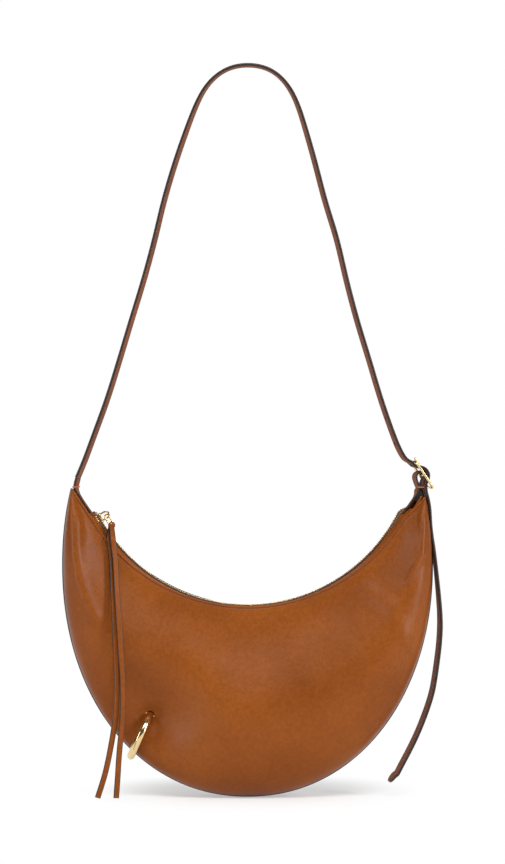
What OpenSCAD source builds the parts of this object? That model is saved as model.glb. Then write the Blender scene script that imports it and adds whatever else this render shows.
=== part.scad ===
// Crescent crossbody bag in leather, hanging from its strap as it does on a shoulder.
// +Z is up, +X is to the wearer's right hand in a front view, and the front faces -Y.
// The origin is the underside of the strap at its highest point.
// Heights named ..._h are measured up from the bag's lowest point.

/* [Bag body] */
// Width of the bag at its widest
body_w = 341; // [300:1:380]
// Half of the height of the oval that the outline follows
oval_rise = 214; // [190:1:240]
// Height of the two pointed ends
tip_h = 284; // [270:1:296]
// Front to back size of the filled bag
body_d = 72; // [62:1:84]
// Front to back size of the pointed ends
tip_d = 19; // [18:0.5:24]
// Thickness of the panel leather
leather_t = 1.6; // [1:0.1:2.2]
// Thickness of the lining cloth
lining_t = 0.8; // [0.5:0.1:1.2]
// Free space between the leather and the lining
lining_gap = 0.4; // [0.3:0.1:1]

/* [Mouth and zip] */
// Radius of the arc that the zip follows
zip_r = 155; // [145:1:165]
// Height of the centre of that arc above the two pointed ends
mouth_rise = 48; // [40:1:56]
// Angle of the arc to each side
mouth_angle = 64; // [58:0.5:66]
// Distance of the panels' top edges below the zip
edge_drop = 5; // [4:0.5:8]
// Width between the two panels' inner faces along the zip
mouth_w = 20; // [19:0.5:24]
// Distance from one tooth to the next
tooth_pitch = 2.4; // [2:0.1:4]
// Length of a tooth across the zip
tooth_w = 2.3; // [1.8:0.1:2.6]
// Height of a tooth
tooth_h = 2.4; // [1.8:0.1:2.8]
// Thickness of the zip tape
tape_t = 0.5; // [0.4:0.1:0.8]
// Thickness of the leather strips beside the zip
facing_t = 1.2; // [0.8:0.1:1.6]

/* [Slider and pull] */
// Angle of the slider from the middle when the zip is closed
slider_angle = 61; // [50:0.5:61]
// Length of the slider's plates
slider_l = 9; // [7:0.5:11]
// Thickness of the slider's plates
plate_t = 1.2; // [0.8:0.1:1.6]
// Width of the slider's bridge
bridge_w = 2.4; // [2:0.1:3]
// Wire radius of the pull loop
loop_wire_r = 0.7; // [0.5:0.05:0.9]
// Length of the pull loop between its two ends
loop_l = 11; // [9:0.5:14]
// Width of the pull loop between its two sides
loop_w = 6; // [5.6:0.1:7]
// Tilt of the pull loop towards the front
loop_tilt = 35; // [25:1:38]
// Width of one tail of the leather pull
thong_w = 4.6; // [3:0.1:5.5]
// Thickness of the leather pull
thong_t = 1.6; // [1.2:0.1:2]
// Length that the leather pull hangs down
thong_l = 243; // [180:1:260]

/* [Strap] */
// Height of the strap's top above the two pointed ends
strap_rise = 390; // [300:1:480]
// Width of the strap
strap_w = 15; // [12:0.5:16]
// Thickness of the strap
strap_t = 2.8; // [2:0.1:3.2]
// Drop of the strap's loose tail from the buckle to its tip
tail_l = 271; // [200:1:280]
// Distance between the punched holes
hole_pitch = 25; // [20:1:30]
// Radius of the punched holes
hole_r = 1.8; // [1.6:0.1:2]

/* [Buckle] */
// Length of the buckle
buckle_l = 31.5; // [30:0.5:36]
// Width of the buckle
buckle_w = 22.4; // [21.4:0.1:23]
// Wire radius of the buckle's frame
buckle_wire_r = 1.4; // [1.2:0.1:1.6]
// Lean of the buckle from upright
buckle_lean = 31.6; // [25:0.5:38]
// Thickness of the leather tab round the buckle's bar
tab_t = 1.4; // [1:0.1:1.8]

/* [Piercing ring] */
// Outer diameter of the ring
ring_d = 50; // [48:0.5:54]
// Thickness of the ring's wire
ring_wire_d = 7.4; // [6:0.1:8]
// Lean of the ring from upright
ring_lean = 25; // [20:1:32]
// Free space between the ring's wire and the edge that it goes round
ring_gap = 1.4; // [1.2:0.1:2]
// Wall of the eyelet
eyelet_t = 0.6; // [0.5:0.1:1]

/* [Hidden] */

// Colours
tan_leather = "#9b501e";
dark_leather = "#7a462c";
edge_paint = "#2a1d19";
pale_gold = "#e8c98a";
cloth = "#c9b79a";
tape_cloth = "#5a3a26";

// Heights run up from the lowest point, and hang_h brings the strap's top to the origin.
hang_h = tip_h + strap_rise;
mouth_h = tip_h + mouth_rise;
half_w = body_w / 2;
half_d = body_d / 2;
// Roundness of the outline: 2 is an ellipse
outline_power_share = 2.1;
// Overrun of a cut past the faces that it goes through
cut = 1;
// Free space between pieces that lie beside each other
seat_gap = 0.3;
// Play of a turning piece on its pin
pivot_play = 0.2;

// Outline of the bag
function signed_power(v, p) = sign(v) * pow(abs(v), p);
function oval(a) = [
    half_w * signed_power(sin(a), 2 / outline_power_share),
    oval_rise - oval_rise * signed_power(cos(a), 2 / outline_power_share)
];
// Angle on the oval at which the outline reaches the pointed ends
tip_angle = 90 + asin(pow((tip_h - oval_rise) / oval_rise, outline_power_share / 2));
tip_x = oval(tip_angle)[0];

// Top edge of a panel: an arc below the zip, then straight up to the pointed end
edge_r = zip_r + edge_drop;
function on_mouth(r, a) = [r * sin(a), mouth_h - r * cos(a)];
arc_end = on_mouth(edge_r, mouth_angle);
// Size of the cut end of the pointed tip
tip_cut = leather_t * 2.5;
edge_tip = [tip_x - tip_cut, tip_h - tip_cut / 2];
arc_len = edge_r * mouth_angle * PI / 180;
straight_len = norm(edge_tip - arc_end);
arc_share = arc_len / (arc_len + straight_len);
function top_edge(u) =
    let (v = abs(u), s = sign(u))
    v <= arc_share
        ? on_mouth(edge_r, s * mouth_angle * v / arc_share)
        : let (f = (v - arc_share) / (1 - arc_share), p = arc_end + f * (edge_tip - arc_end))
          [s * p[0], p[1]];

// Depth of a panel along the bag and across it
// Share of the panel's width at which the bag is deepest
crown_share = 0.4;
// Share of the panel's mesh rows that lie between the seam and the deepest line
crown_rows_share = 0.5;
depth_power_share = 2.8;
function crown_y(u) =
    tip_d / 2 + (half_d - tip_d / 2) * pow(max(0, 1 - pow(abs(u), depth_power_share)), 0.7);
edge_y_mid = mouth_w / 2 + leather_t;
edge_y_tip = tip_d / 2;
function edge_y(u) =
    abs(u) <= arc_share ? edge_y_mid
        : edge_y_mid + (edge_y_tip - edge_y_mid) * (abs(u) - arc_share) / (1 - arc_share);
function across(t) =
    t < crown_rows_share ? crown_share * (1 - cos(90 * t / crown_rows_share))
        : crown_share + (1 - crown_share) * (t - crown_rows_share) / (1 - crown_rows_share);
function depth(u, t) =
    t < crown_rows_share ? crown_y(u) * sin(90 * t / crown_rows_share)
        : let (f = (t - crown_rows_share) / (1 - crown_rows_share))
          edge_y(u) + (crown_y(u) - edge_y(u)) * (1 + cos(180 * f)) / 2;

// Piercing ring: it goes round the lower left edge and through an eyelet above it
ring_r = (ring_d - ring_wire_d) / 2;
ring_dir = [-sin(ring_lean), -cos(ring_lean)];
// Place on the outline that the ring goes round, as an angle on the oval
ring_oval_angle = -37.2;
edge_to_ring = ring_r - ring_wire_d / 2 - ring_gap;
// Half of the bag's depth where it is drawn in, and how far the eyelet stands proud of it
pinched_y = 9.8;
eyelet_proud = 0.4;
eyelet_half = pinched_y + eyelet_proud;
ring_centre = oval(ring_oval_angle) - ring_dir * edge_to_ring;
// The straight eyelet is wide enough for the curved wire: nearest and furthest reach of the wire
wire_near = sqrt(pow(ring_r - ring_wire_d / 2, 2) - pow(eyelet_half, 2));
wire_far = ring_r + ring_wire_d / 2;
eyelet_centre = ring_centre - ring_dir * (wire_near + wire_far) / 2;
eyelet_r = (wire_far - wire_near) / 2 + seat_gap;

// The leather is drawn in flat around the eyelet
pinch_reach = ring_d * 0.7;
function pinch(p) = exp(-pow(norm(p - eyelet_centre) / pinch_reach, 4));
function drawn_in(d) = d * pinched_y / pow(pow(d, 4) + pow(pinched_y, 4), 1 / 4);

// Point of a panel's outer face: u runs along the bag and t from the seam to the top edge
function face(u, t) =
    let (p = oval(u * tip_angle), q = top_edge(u), c = p + (q - p) * across(t))
    let (d = depth(u, t), w = pinch(c)) [c[0], -(d * (1 - w) + drawn_in(d) * w), c[1]];
tiny_share = 0.002;
function unit(v) = v / norm(v);
function face_normal(u, t) =
    let (
        u0 = max(-1, u - tiny_share), u1 = min(1, u + tiny_share),
        t0 = max(0, t - tiny_share), t1 = min(1, t + tiny_share),
        n = unit(cross(face(u1, t) - face(u0, t), face(u, t1) - face(u, t0)))
    )
    t < tiny_share ? unit([n[0], 0, n[2]]) : n;
function inset_face(u, t, inset) = face(u, t) - face_normal(u, t) * inset;

// Closed sheet between two insets of the panel's face
module panel_sheet(inset, thick, u_range, t_range, nu, nt) {
    us = [for (i = [0:nu]) u_range[0] + (u_range[1] - u_range[0]) * i / nu];
    ts = [for (j = [0:nt]) t_range[0] + (t_range[1] - t_range[0]) * j / nt];
    row = nt + 1;
    outer = [for (u = us) for (t = ts) inset_face(u, t, inset)];
    inner = [for (u = us) for (t = ts) inset_face(u, t, inset + thick)];
    n = len(outer);
    quads = concat(
        [for (i = [0:nu - 1]) for (j = [0:nt - 1])
            [i * row + j, i * row + j + 1, (i + 1) * row + j + 1, (i + 1) * row + j]],
        [for (i = [0:nu - 1]) for (j = [0:nt - 1])
            [n + i * row + j, n + (i + 1) * row + j, n + (i + 1) * row + j + 1, n + i * row + j + 1]],
        [for (i = [0:nu - 1])
            [i * row, (i + 1) * row, n + (i + 1) * row, n + i * row]],
        [for (i = [0:nu - 1])
            [i * row + nt, n + i * row + nt, n + (i + 1) * row + nt, (i + 1) * row + nt]],
        [for (j = [0:nt - 1])
            [j, n + j, n + j + 1, j + 1]],
        [for (j = [0:nt - 1])
            [nu * row + j, nu * row + j + 1, n + nu * row + j + 1, n + nu * row + j]]
    );
    polyhedron(
        points = concat(outer, inner),
        faces = [for (q = quads) for (k = [0:1]) k == 0 ? [q[0], q[1], q[2]] : [q[0], q[2], q[3]]],
        convexity = 6
    );
}

// Smooth curve through points, with steps pieces between each pair
function curve_at(p, i, f) =
    let (
        n = len(p) - 1,
        a = p[max(0, i - 1)], b = p[i], c = p[min(n, i + 1)], d = p[min(n, i + 2)],
        f2 = f * f, f3 = f2 * f
    )
    (b * 2 + (c - a) * f + (a * 2 - b * 5 + c * 4 - d) * f2 + (b * 3 - a - c * 3 + d) * f3) / 2;
function curve(p, steps) = concat(
    [for (i = [0:len(p) - 2]) for (k = [0:steps - 1]) curve_at(p, i, k / steps)],
    [p[len(p) - 1]]
);
function length_to(p, k) = k == 0 ? 0 : norm(p[k] - p[k - 1]) + length_to(p, k - 1);
// Points at both sides of a path in a plane, half of t away
function side(p, k, d) =
    let (v = unit(p[min(len(p) - 1, k + 1)] - p[max(0, k - 1)])) p[k] + [-v[1], v[0]] * d;
function band(p, t) = concat(
    [for (k = [0:len(p) - 1]) side(p, k, t / 2)],
    [for (k = [len(p) - 1:-1:0]) side(p, k, -t / 2)]
);

// Places that only turn and shift what is drawn in them
module from_bottom() { translate([0, 0, -hang_h]) children(); }
// A shape drawn with x to the right and y up becomes a band that is w deep, front to back
module upright(w) { rotate([90, 0, 0]) linear_extrude(w, center = true) union() children(); }
// On the zip's arc at angle a: x along the zip, z towards the arc's centre
module on_zip(a) {
    translate([0, 0, mouth_h]) rotate([0, -a, 0]) translate([0, 0, -zip_r]) children();
}
// Ring section turned round the zip's arc: x is the distance from its centre, y the depth
module zip_sweep(a) {
    translate([0, 0, mouth_h]) rotate([90, 0, 0]) rotate([0, 0, -90 - a])
        rotate_extrude(angle = 2 * a, $fn = 180) children();
}
module mirror_y() { mirror([0, 1, 0]) children(); }

// Panels and lining: the lining's mesh is a part of the panel's, so that the two stay apart
panel_column_count = 44;
panel_row_count = 12;
eyelet_hole_r = eyelet_r + eyelet_t + seat_gap;
module eyelet_hole(r) {
    translate([eyelet_centre[0], 0, eyelet_centre[1]])
        rotate([90, 0, 0]) cylinder(h = body_d, r = r, center = true, $fn = 48);
}
module panel() {
    difference() {
        panel_sheet(0, leather_t, [-1, 1], [0, 1], panel_column_count, panel_row_count);
        eyelet_hole(eyelet_hole_r);
    }
}
module front_panel() { color(tan_leather) from_bottom() panel(); }
module back_panel() { color(tan_leather) from_bottom() mirror_y() panel(); }

// Sheet on the panel's own mesh lines: columns counted from the middle, rows from the seam
module inner_sheet(inset, column_count, skipped_count, row_count) {
    reach = 2 * column_count / panel_column_count;
    panel_sheet(
        inset, lining_t, [-reach, reach],
        [skipped_count / panel_row_count, (skipped_count + row_count) / panel_row_count],
        2 * column_count, row_count
    );
}
lining_column_count = 18;
lining_row_count = 10;
module lining() {
    difference() {
        inner_sheet(leather_t + lining_gap, lining_column_count, 1, lining_row_count);
        eyelet_hole(eyelet_hole_r + lining_gap);
    }
}
module lining_front() { color(cloth) from_bottom() lining(); }
module lining_back() { color(cloth) from_bottom() mirror_y() lining(); }

// Slip pocket on the back lining
pocket_column_count = 6;
pocket_skipped_count = 5;
pocket_row_count = 5;
module inner_pocket() {
    color(cloth) from_bottom() mirror_y() inner_sheet(
        leather_t + lining_gap + lining_t + seat_gap,
        pocket_column_count, pocket_skipped_count, pocket_row_count
    );
}

// Leather fillers between the panels, from the end of the zip to the tip
filler_dir = unit(edge_tip - arc_end);
filler_lean = atan2(filler_dir[1], filler_dir[0]);
filler_l = straight_len - 3 * leather_t;
module gusset(side_sign) {
    w0 = mouth_w / 2 - seat_gap;
    w1 = edge_y_tip - leather_t - seat_gap;
    mirror([side_sign < 0 ? 1 : 0, 0, 0])
        translate([arc_end[0], 0, arc_end[1]]) rotate([0, -filler_lean, 0])
            translate([0, 0, -leather_t - strap_t])
                linear_extrude(leather_t)
                    polygon([[0, -w0], [filler_l, -w1], [filler_l, w1], [0, w0]]);
}
module gusset_left() { color(tan_leather) from_bottom() gusset(-1); }
module gusset_right() { color(tan_leather) from_bottom() gusset(1); }

// Zip: facing strips, tapes, teeth and stops
slit = 0.7;
tooth_side = slit + tooth_w;
// Free width of tape between the teeth and the leather strip
tape_show = 1.5;
facing_edge = tooth_side + tape_show;
roof_fall = edge_drop / (mouth_w / 2 - facing_edge);
// Strip of thickness t over the roof between depths y0 and y1, starting at radius r0
module roof_strip(y0, y1, r0, t) {
    r1 = r0 + (y1 - y0) * roof_fall;
    polygon([[r0, y0], [r1, y1], [r1 + t, y1], [r0 + t, y0]]);
}
facing_rise = 0.6;
module facing() {
    zip_sweep(mouth_angle)
        roof_strip(facing_edge, mouth_w / 2 - seat_gap, zip_r - facing_rise - facing_t / 2, facing_t);
}
module facing_front() { color(tan_leather) from_bottom() facing(); }
module facing_back() { color(tan_leather) from_bottom() mirror_y() facing(); }
module zip_tape() {
    tape_r = zip_r + facing_t + seat_gap - facing_rise;
    zip_sweep(mouth_angle) {
        polygon([
            [zip_r - tape_t / 2, tooth_side], [zip_r - tape_t / 2, tooth_side + tape_t],
            [tape_r, facing_edge + tape_t], [tape_r + tape_t, facing_edge],
            [zip_r + tape_t / 2, tooth_side]
        ]);
        roof_strip(facing_edge, mouth_w / 2 - 2 * seat_gap, tape_r, tape_t);
    }
}
module zip_tape_front() { color(tape_cloth) from_bottom() zip_tape(); }
module zip_tape_back() { color(tape_cloth) from_bottom() mirror_y() zip_tape(); }

// The stops stand just past the slider's ends, and the teeth run from one to the other
stop_l = 1.6;
function arc_angle(l) = l / zip_r * 180 / PI;
stop_angle = slider_angle + arc_angle(slider_l / 2 + seat_gap + stop_l / 2);
teeth_angle = stop_angle - arc_angle(stop_l / 2 + seat_gap / 2);
tooth_step = arc_angle(tooth_pitch);
tooth_count = floor(2 * teeth_angle / tooth_step);
tooth_l = tooth_pitch * 0.45;
bead_h = tooth_h * 0.55;
bead_w = tooth_w * 0.4;
module zip_teeth(shift) {
    zip_sweep(teeth_angle)
        translate([zip_r - bead_h / 2, tooth_side - bead_w]) square([bead_h, bead_w]);
    for (i = [0:tooth_count - 2])
        on_zip(-teeth_angle + tooth_step * (i + 0.75 + shift))
            translate([-tooth_l / 2, -tooth_side + bead_w / 2, -tooth_h / 2])
                cube([tooth_l, tooth_w - bead_w / 2, tooth_h]);
}
module zip_teeth_front() { color(pale_gold) from_bottom() zip_teeth(0); }
module zip_teeth_back() { color(pale_gold) from_bottom() mirror_y() zip_teeth(0.5); }
module zip_stop(a) {
    on_zip(a) translate([-stop_l / 2, -tooth_side, -tooth_h / 2]) cube([stop_l, 2 * tooth_side, tooth_h]);
}
module zip_stop_left() { color(pale_gold) from_bottom() zip_stop(-stop_angle); }
module zip_stop_right() { color(pale_gold) from_bottom() zip_stop(stop_angle); }

// Slider: two plates joined by a post that runs in the slit between the teeth
run_gap = 0.3;
plate_z = tooth_h / 2 + run_gap;
plate_w = 2 * (tooth_side + run_gap + plate_t * 0.6);
lip_t = plate_t * 0.6;
plate_top = plate_z + plate_t;
module slider_body() {
    color(pale_gold) from_bottom() on_zip(-slider_angle) {
        translate([-slider_l / 2, -plate_w / 2, plate_z]) cube([slider_l, plate_w, plate_t]);
        translate([-slider_l / 2, -plate_w / 2, -plate_top]) cube([slider_l, plate_w, plate_t]);
        translate([-slider_l / 2, -(slit - run_gap), -plate_z - plate_t / 2])
            cube([slider_l / 3, 2 * (slit - run_gap), 2 * plate_z + plate_t]);
        for (s = [-1, 1])
            translate([-slider_l / 2, s > 0 ? plate_w / 2 - lip_t : -plate_w / 2, tape_t + run_gap])
                cube([slider_l, lip_t, plate_z - tape_t - run_gap + plate_t / 2]);
    }
}
// Bridge: an arch along the zip, and the pull loop's end turns inside it
loop_drop = loop_w / 2 * sin(loop_tilt);
pivot_z = plate_top + run_gap + loop_wire_r + loop_drop;
pivot_room = loop_wire_r / cos(loop_tilt) + bridge_w / 2 * tan(loop_tilt) + pivot_play;
bridge_t = 1.1;
bridge_top = pivot_z + pivot_room + bridge_t;
module slider_bridge() {
    out_x = pivot_room + bridge_t;
    color(pale_gold) from_bottom() on_zip(-slider_angle) upright(bridge_w) difference() {
        union() {
            translate([-out_x, plate_top]) square([2 * out_x, bridge_top - plate_top - out_x]);
            translate([0, bridge_top - out_x]) circle(out_x, $fn = 48);
        }
        translate([-pivot_room, plate_top - cut])
            square([2 * pivot_room, bridge_top - plate_top - out_x + cut]);
        translate([0, bridge_top - out_x]) circle(pivot_room, $fn = 48);
        translate([-out_x - cut, plate_top - 2 * out_x]) square([2 * out_x + 2 * cut, 2 * out_x]);
    }
}

// Pull loop: a rectangular wire loop that lies along the zip, tilted to the front
loop_corner = 1.6;
module wire(a, b, r) {
    v = b - a;
    translate(a) rotate([0, acos(v[2] / norm(v)), atan2(v[1], v[0])]) cylinder(h = norm(v), r = r, $fn = 48);
}
// Rounded rectangle of round wire in the XY plane, from x0 to x1 and w wide
module wire_frame(x0, x1, w, corner, r) {
    for (s = [-1, 1]) {
        wire([x0 + corner, s * w / 2, 0], [x1 - corner, s * w / 2, 0], r);
        for (e = [0, 1])
            translate([e == 0 ? x0 + corner : x1 - corner, s * (w / 2 - corner), 0])
                rotate([0, 0, (e == 0 ? (s > 0 ? 90 : 180) : (s > 0 ? 0 : 270))])
                    rotate_extrude(angle = 90, $fn = 48) translate([corner, 0]) circle(r, $fn = 24);
    }
    wire([x0, -w / 2 + corner, 0], [x0, w / 2 - corner, 0], r);
    wire([x1, -w / 2 + corner, 0], [x1, w / 2 - corner, 0], r);
}
module pull_loop() {
    color(pale_gold) from_bottom() on_zip(-slider_angle)
        translate([0, 0, pivot_z]) rotate([loop_tilt, 0, 0])
            wire_frame(0, loop_l, loop_w, loop_corner, loop_wire_r);
}

// Leather pull: a fold round the loop's end, a neck with a keeper, and two tails
fold_w = 3;
fold_in_r = loop_wire_r / cos(loop_tilt) + fold_w / 2 * tan(loop_tilt) + pivot_play;
fold_out_r = fold_in_r + 0.75 * thong_t;
thong_radius = norm([loop_l, zip_r - pivot_z]);
thong_angle = -slider_angle + atan(loop_l / (zip_r - pivot_z));
thong_pivot = on_mouth(thong_radius, thong_angle);
module at_thong() { translate([thong_pivot[0], 0, thong_pivot[1]]) children(); }
module thong_fold() {
    color(tan_leather) from_bottom() at_thong() rotate([90, 0, 0]) difference() {
        cylinder(h = fold_w, r = fold_out_r, center = true, $fn = 48);
        cylinder(h = fold_w + 2 * cut, r = fold_in_r, center = true, $fn = 48);
    }
}
// Rounded head of the pull, in front of the loop: the two tails hang from it one behind the other
tail_gap = 0.25;
keeper_r = thong_t + tail_gap;
swing_y = -(loop_w / 2 * cos(loop_tilt) + loop_wire_r + seat_gap + keeper_r);
// The keeper is wider than the tails by this much on each side
keeper_side = 0.75;
keeper_w = thong_w + 2 * keeper_side;
module thong_keeper() {
    color(dark_leather) from_bottom() at_thong() translate([0, swing_y, 0])
        rotate([0, 90, 0]) cylinder(h = keeper_w, r = keeper_r, center = true, $fn = 48);
}
// Sideways path of each tail: shares of the pull's length
left_drift_shares = [
    [-0.0025, 0], [0.005, 0.12], [0.012, 0.3], [0.022, 0.5], [0.03, 0.64],
    [0.022, 0.76], [0.004, 0.86], [-0.02, 0.93], [-0.044, 1]
];
right_drift_shares = [
    [0.0025, 0], [0.017, 0.12], [0.027, 0.3], [0.044, 0.5], [0.056, 0.64],
    [0.054, 0.76], [0.044, 0.86], [0.037, 0.93], [0.034, 1]
];
function value_at(table, s) =
    let (k = max([for (i = [0:len(table) - 2]) table[i][1] <= s ? i : 0]),
         a = table[k], b = table[k + 1], f = min(1, max(0, (s - a[1]) / (b[1] - a[1]))))
    a[0] + (b[0] - a[0]) * (1 - cos(180 * f)) / 2;
// Path in side view, out to the front and down: over the mouth's edge, then down the swelling
// front, with the room that the pull needs anywhere along the zip
roof_drop = pivot_z + edge_drop;
crown_drop = (1 - crown_share) * (mouth_h - edge_r);
pull_gap = 0.5;
drape_lead_share = 0.06;
function drape_y(drop) =
    let (f = min(1, max(0, (drop - roof_drop) / crown_drop + drape_lead_share)))
    edge_y_mid + (half_d - edge_y_mid) * (1 - cos(180 * f)) / 2 + pull_gap + thong_t / 2;
head_point = [-swing_y, 0] + unit([1, -1]) * (keeper_r + tail_gap) + unit([-1, -1]) * keeper_r / 2;
drape_step_count = 32;
drape_side = concat(
    [head_point, [edge_y_mid + pull_gap + thong_t / 2, -roof_drop + thong_t]],
    [for (i = [0:drape_step_count])
        let (drop = roof_drop + thong_t + (thong_l - roof_drop - thong_t) * pow(i / drape_step_count, 1.3))
        [drape_y(drop), -drop]]
);
// Path of one tail, moved out to the front by off
function tail_line(drift, off) = [
    for (k = [0:len(drape_side) - 1])
        let (q = side(drape_side, k, off), s = -drape_side[k][1] / thong_l)
        [value_at(drift, s) * thong_l, -q[0], q[1]]
];
// Strip with width along x that follows a path
module strip(p, w, t) {
    n = len(p);
    corners = [for (k = [0:n - 1])
        let (
            v = p[min(n - 1, k + 1)] - p[max(0, k - 1)],
            m = unit([0, -v[2], v[1]])
        )
        each [
            p[k] + [-w / 2, 0, 0] + m * t / 2, p[k] + [w / 2, 0, 0] + m * t / 2,
            p[k] + [w / 2, 0, 0] - m * t / 2, p[k] + [-w / 2, 0, 0] - m * t / 2
        ]];
    sides = [for (k = [0:n - 2]) for (j = [0:3])
        let (a = 4 * k + j, b = 4 * k + (j + 1) % 4)
        each [[a, a + 4, b + 4], [a, b + 4, b]]];
    e = 4 * (n - 1);
    polyhedron(
        points = corners,
        faces = concat(sides, [[0, 1, 2], [0, 2, 3], [e, e + 2, e + 1], [e, e + 3, e + 2]]),
        convexity = 6
    );
}
module thong_tail_left() {
    color(tan_leather) from_bottom() at_thong()
        strip(tail_line(left_drift_shares, thong_t + tail_gap), thong_w, thong_t);
}
module thong_tail_right() {
    color(tan_leather) from_bottom() at_thong() strip(tail_line(right_drift_shares, 0), thong_w, thong_t);
}

// Strap: points as shares of the reach of its legs and of its rise
leg_reach = tip_x * 1.049;
left_leg_shares = [
    [-0.921, 0.024], [-0.88, 0.066], [-0.84, 0.114], [-0.761, 0.208], [-0.693, 0.3025],
    [-0.628, 0.397], [-0.562, 0.491], [-0.503, 0.586], [-0.451, 0.68], [-0.386, 0.775],
    [-0.31, 0.869], [-0.266, 0.916], [-0.225, 0.949], [-0.168, 0.975], [-0.095, 0.994]
];
right_leg_shares = [
    [0.098, 0.994], [0.171, 0.975], [0.225, 0.947], [0.264, 0.914], [0.299, 0.869],
    [0.361, 0.775], [0.418, 0.68], [0.484, 0.586], [0.535, 0.491], [0.592, 0.397],
    [0.658, 0.3025], [0.723, 0.208], [0.799, 0.114], [0.845, 0.0735]
];
function strap_point(s) = [s[0] * leg_reach, tip_h + s[1] * (strap_rise + strap_t / 2)];
apex = [[0, tip_h + strap_rise + strap_t / 2]];
// Centre of the buckle's bar, beside the right tip
buckle_in = 1.5;
buckle_rise = 12.8;
buckle_centre = [tip_x - buckle_in, tip_h + buckle_rise];
buckle_up = [-sin(buckle_lean), cos(buckle_lean)];
buckle_out = [cos(buckle_lean), sin(buckle_lean)];
function on_buckle(v, n) = buckle_centre + buckle_up * v + buckle_out * n;
bar_r = 1.4;
// Free space between the strap and the metal that it passes
strap_play = 0.35;
end_v = buckle_l / 2 - buckle_wire_r;
under_n = -(buckle_wire_r + strap_t / 2 + strap_play);
over_n = bar_r + pivot_play + tab_t + strap_t / 2 + strap_play;
buckle_pass = [
    on_buckle(end_v * 1.07, under_n * 1.06), on_buckle(end_v * 0.76, under_n * 0.7),
    on_buckle(end_v * 0.36, over_n * 0.72), on_buckle(0, over_n),
    on_buckle(-end_v * 0.36, over_n * 0.72), on_buckle(-end_v * 0.72, under_n * 0.55)
];
// The tail hangs from here
tail_pivot = on_buckle(-end_v * 1.085, under_n * 1.16);
strap_end = on_buckle(-end_v * 0.93, under_n * 1.02);
strap_path = curve(
    concat([for (s = left_leg_shares) strap_point(s)], apex,
           [for (s = right_leg_shares) strap_point(s)], buckle_pass, [strap_end]),
    4
);
hole_count = 3;
first_hole = 31;
strap_len = length_to(strap_path, len(strap_path) - 1);
function path_index(p, d) = max([for (k = [0:len(p) - 2]) length_to(p, k) <= d ? k : 0]);
module hole_at(p, d, r) {
    k = path_index(p, d);
    v = unit(p[k + 1] - p[k]);
    c = p[k] + v * (d - length_to(p, k));
    translate([c[0], 0, c[1]]) rotate([0, -atan2(v[1], v[0]), 0])
        cylinder(h = 3 * strap_t, r = r, center = true, $fn = 24);
}
module strap() {
    color(dark_leather) from_bottom() difference() {
        upright(strap_w) polygon(band(strap_path, strap_t));
        for (i = [0:hole_count - 1]) hole_at(strap_path, strap_len - first_hole - i * hole_pitch, hole_r);
        prong_room();
    }
}

// Strap end sewn between the panels, and its bend up to the strap
root_gap = 0.2;
root_side = 0.7;
root_w = tip_d - 2 * leather_t - 2 * root_side;
root_run = straight_len - seat_gap;
function filler_at(share, up, s) =
    let (p = arc_end + filler_dir * root_run * share + [-filler_dir[1], filler_dir[0]] * up)
    [s * p[0], p[1]];
root_lift = -strap_t / 2 + root_gap;
strap_start = strap_path[0];
strap_start_dir = unit(strap_path[1] - strap_path[0]);
root_path = curve([
    filler_at(0.08, root_lift, -1), filler_at(0.4, root_lift, -1),
    filler_at(0.72, root_lift, -1), filler_at(0.93, root_lift * 0.8, -1),
    strap_start - strap_start_dir * strap_t * 1.93, strap_start - strap_start_dir * root_gap
], 4);
module strap_root() {
    color(dark_leather) from_bottom() upright(root_w) polygon(band(root_path, strap_t));
}

// Buckle frame, bar and prong
module on_buckle_frame() {
    translate([buckle_centre[0], 0, buckle_centre[1]]) rotate([0, -buckle_lean, 0])
        rotate([0, -90, 0]) children();
}
buckle_corner = 5;
frame_w = buckle_w - 2 * buckle_wire_r;
module buckle_frame() {
    color(pale_gold) from_bottom() on_buckle_frame()
        wire_frame(-end_v, end_v, frame_w, buckle_corner, buckle_wire_r);
}
bar_l = frame_w - 2 * buckle_wire_r;
module buckle_bar() {
    color(pale_gold) from_bottom() on_buckle_frame()
        rotate([90, 0, 0]) cylinder(h = bar_l, r = bar_r, center = true, $fn = 48);
}
prong_r = 0.9;
prong_w = 2.6;
prong_wall = 1;
prong_eye_r = bar_r + pivot_play / 2;
prong_eye_out = prong_eye_r + prong_wall;
prong_tip = [buckle_l / 2, -(buckle_wire_r + prong_r + seat_gap)];
// A prong from the eye round the bar to the upper end of the frame, drawn on the buckle's plane
module prong_rod(r, from) {
    wire([from, 0, -(prong_eye_r + prong_wall / 2)], [prong_tip[0], 0, prong_tip[1]], r);
}
module prong_eye(h, r) { rotate([90, 0, 0]) cylinder(h = h, r = r, center = true, $fn = 96); }
module buckle_prong() {
    color(pale_gold) from_bottom() on_buckle_frame() difference() {
        union() {
            prong_eye(prong_w, prong_eye_out);
            prong_rod(prong_r, 0);
            translate([prong_tip[0], 0, prong_tip[1]]) sphere(prong_r, $fn = 48);
        }
        prong_eye(prong_w + 2 * cut, prong_eye_r);
    }
}
// Slot in the strap that the prong passes through
prong_play = 0.8;
module prong_room() {
    on_buckle_frame() prong_rod(prong_r + prong_play, -prong_w * 0.77);
}

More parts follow.
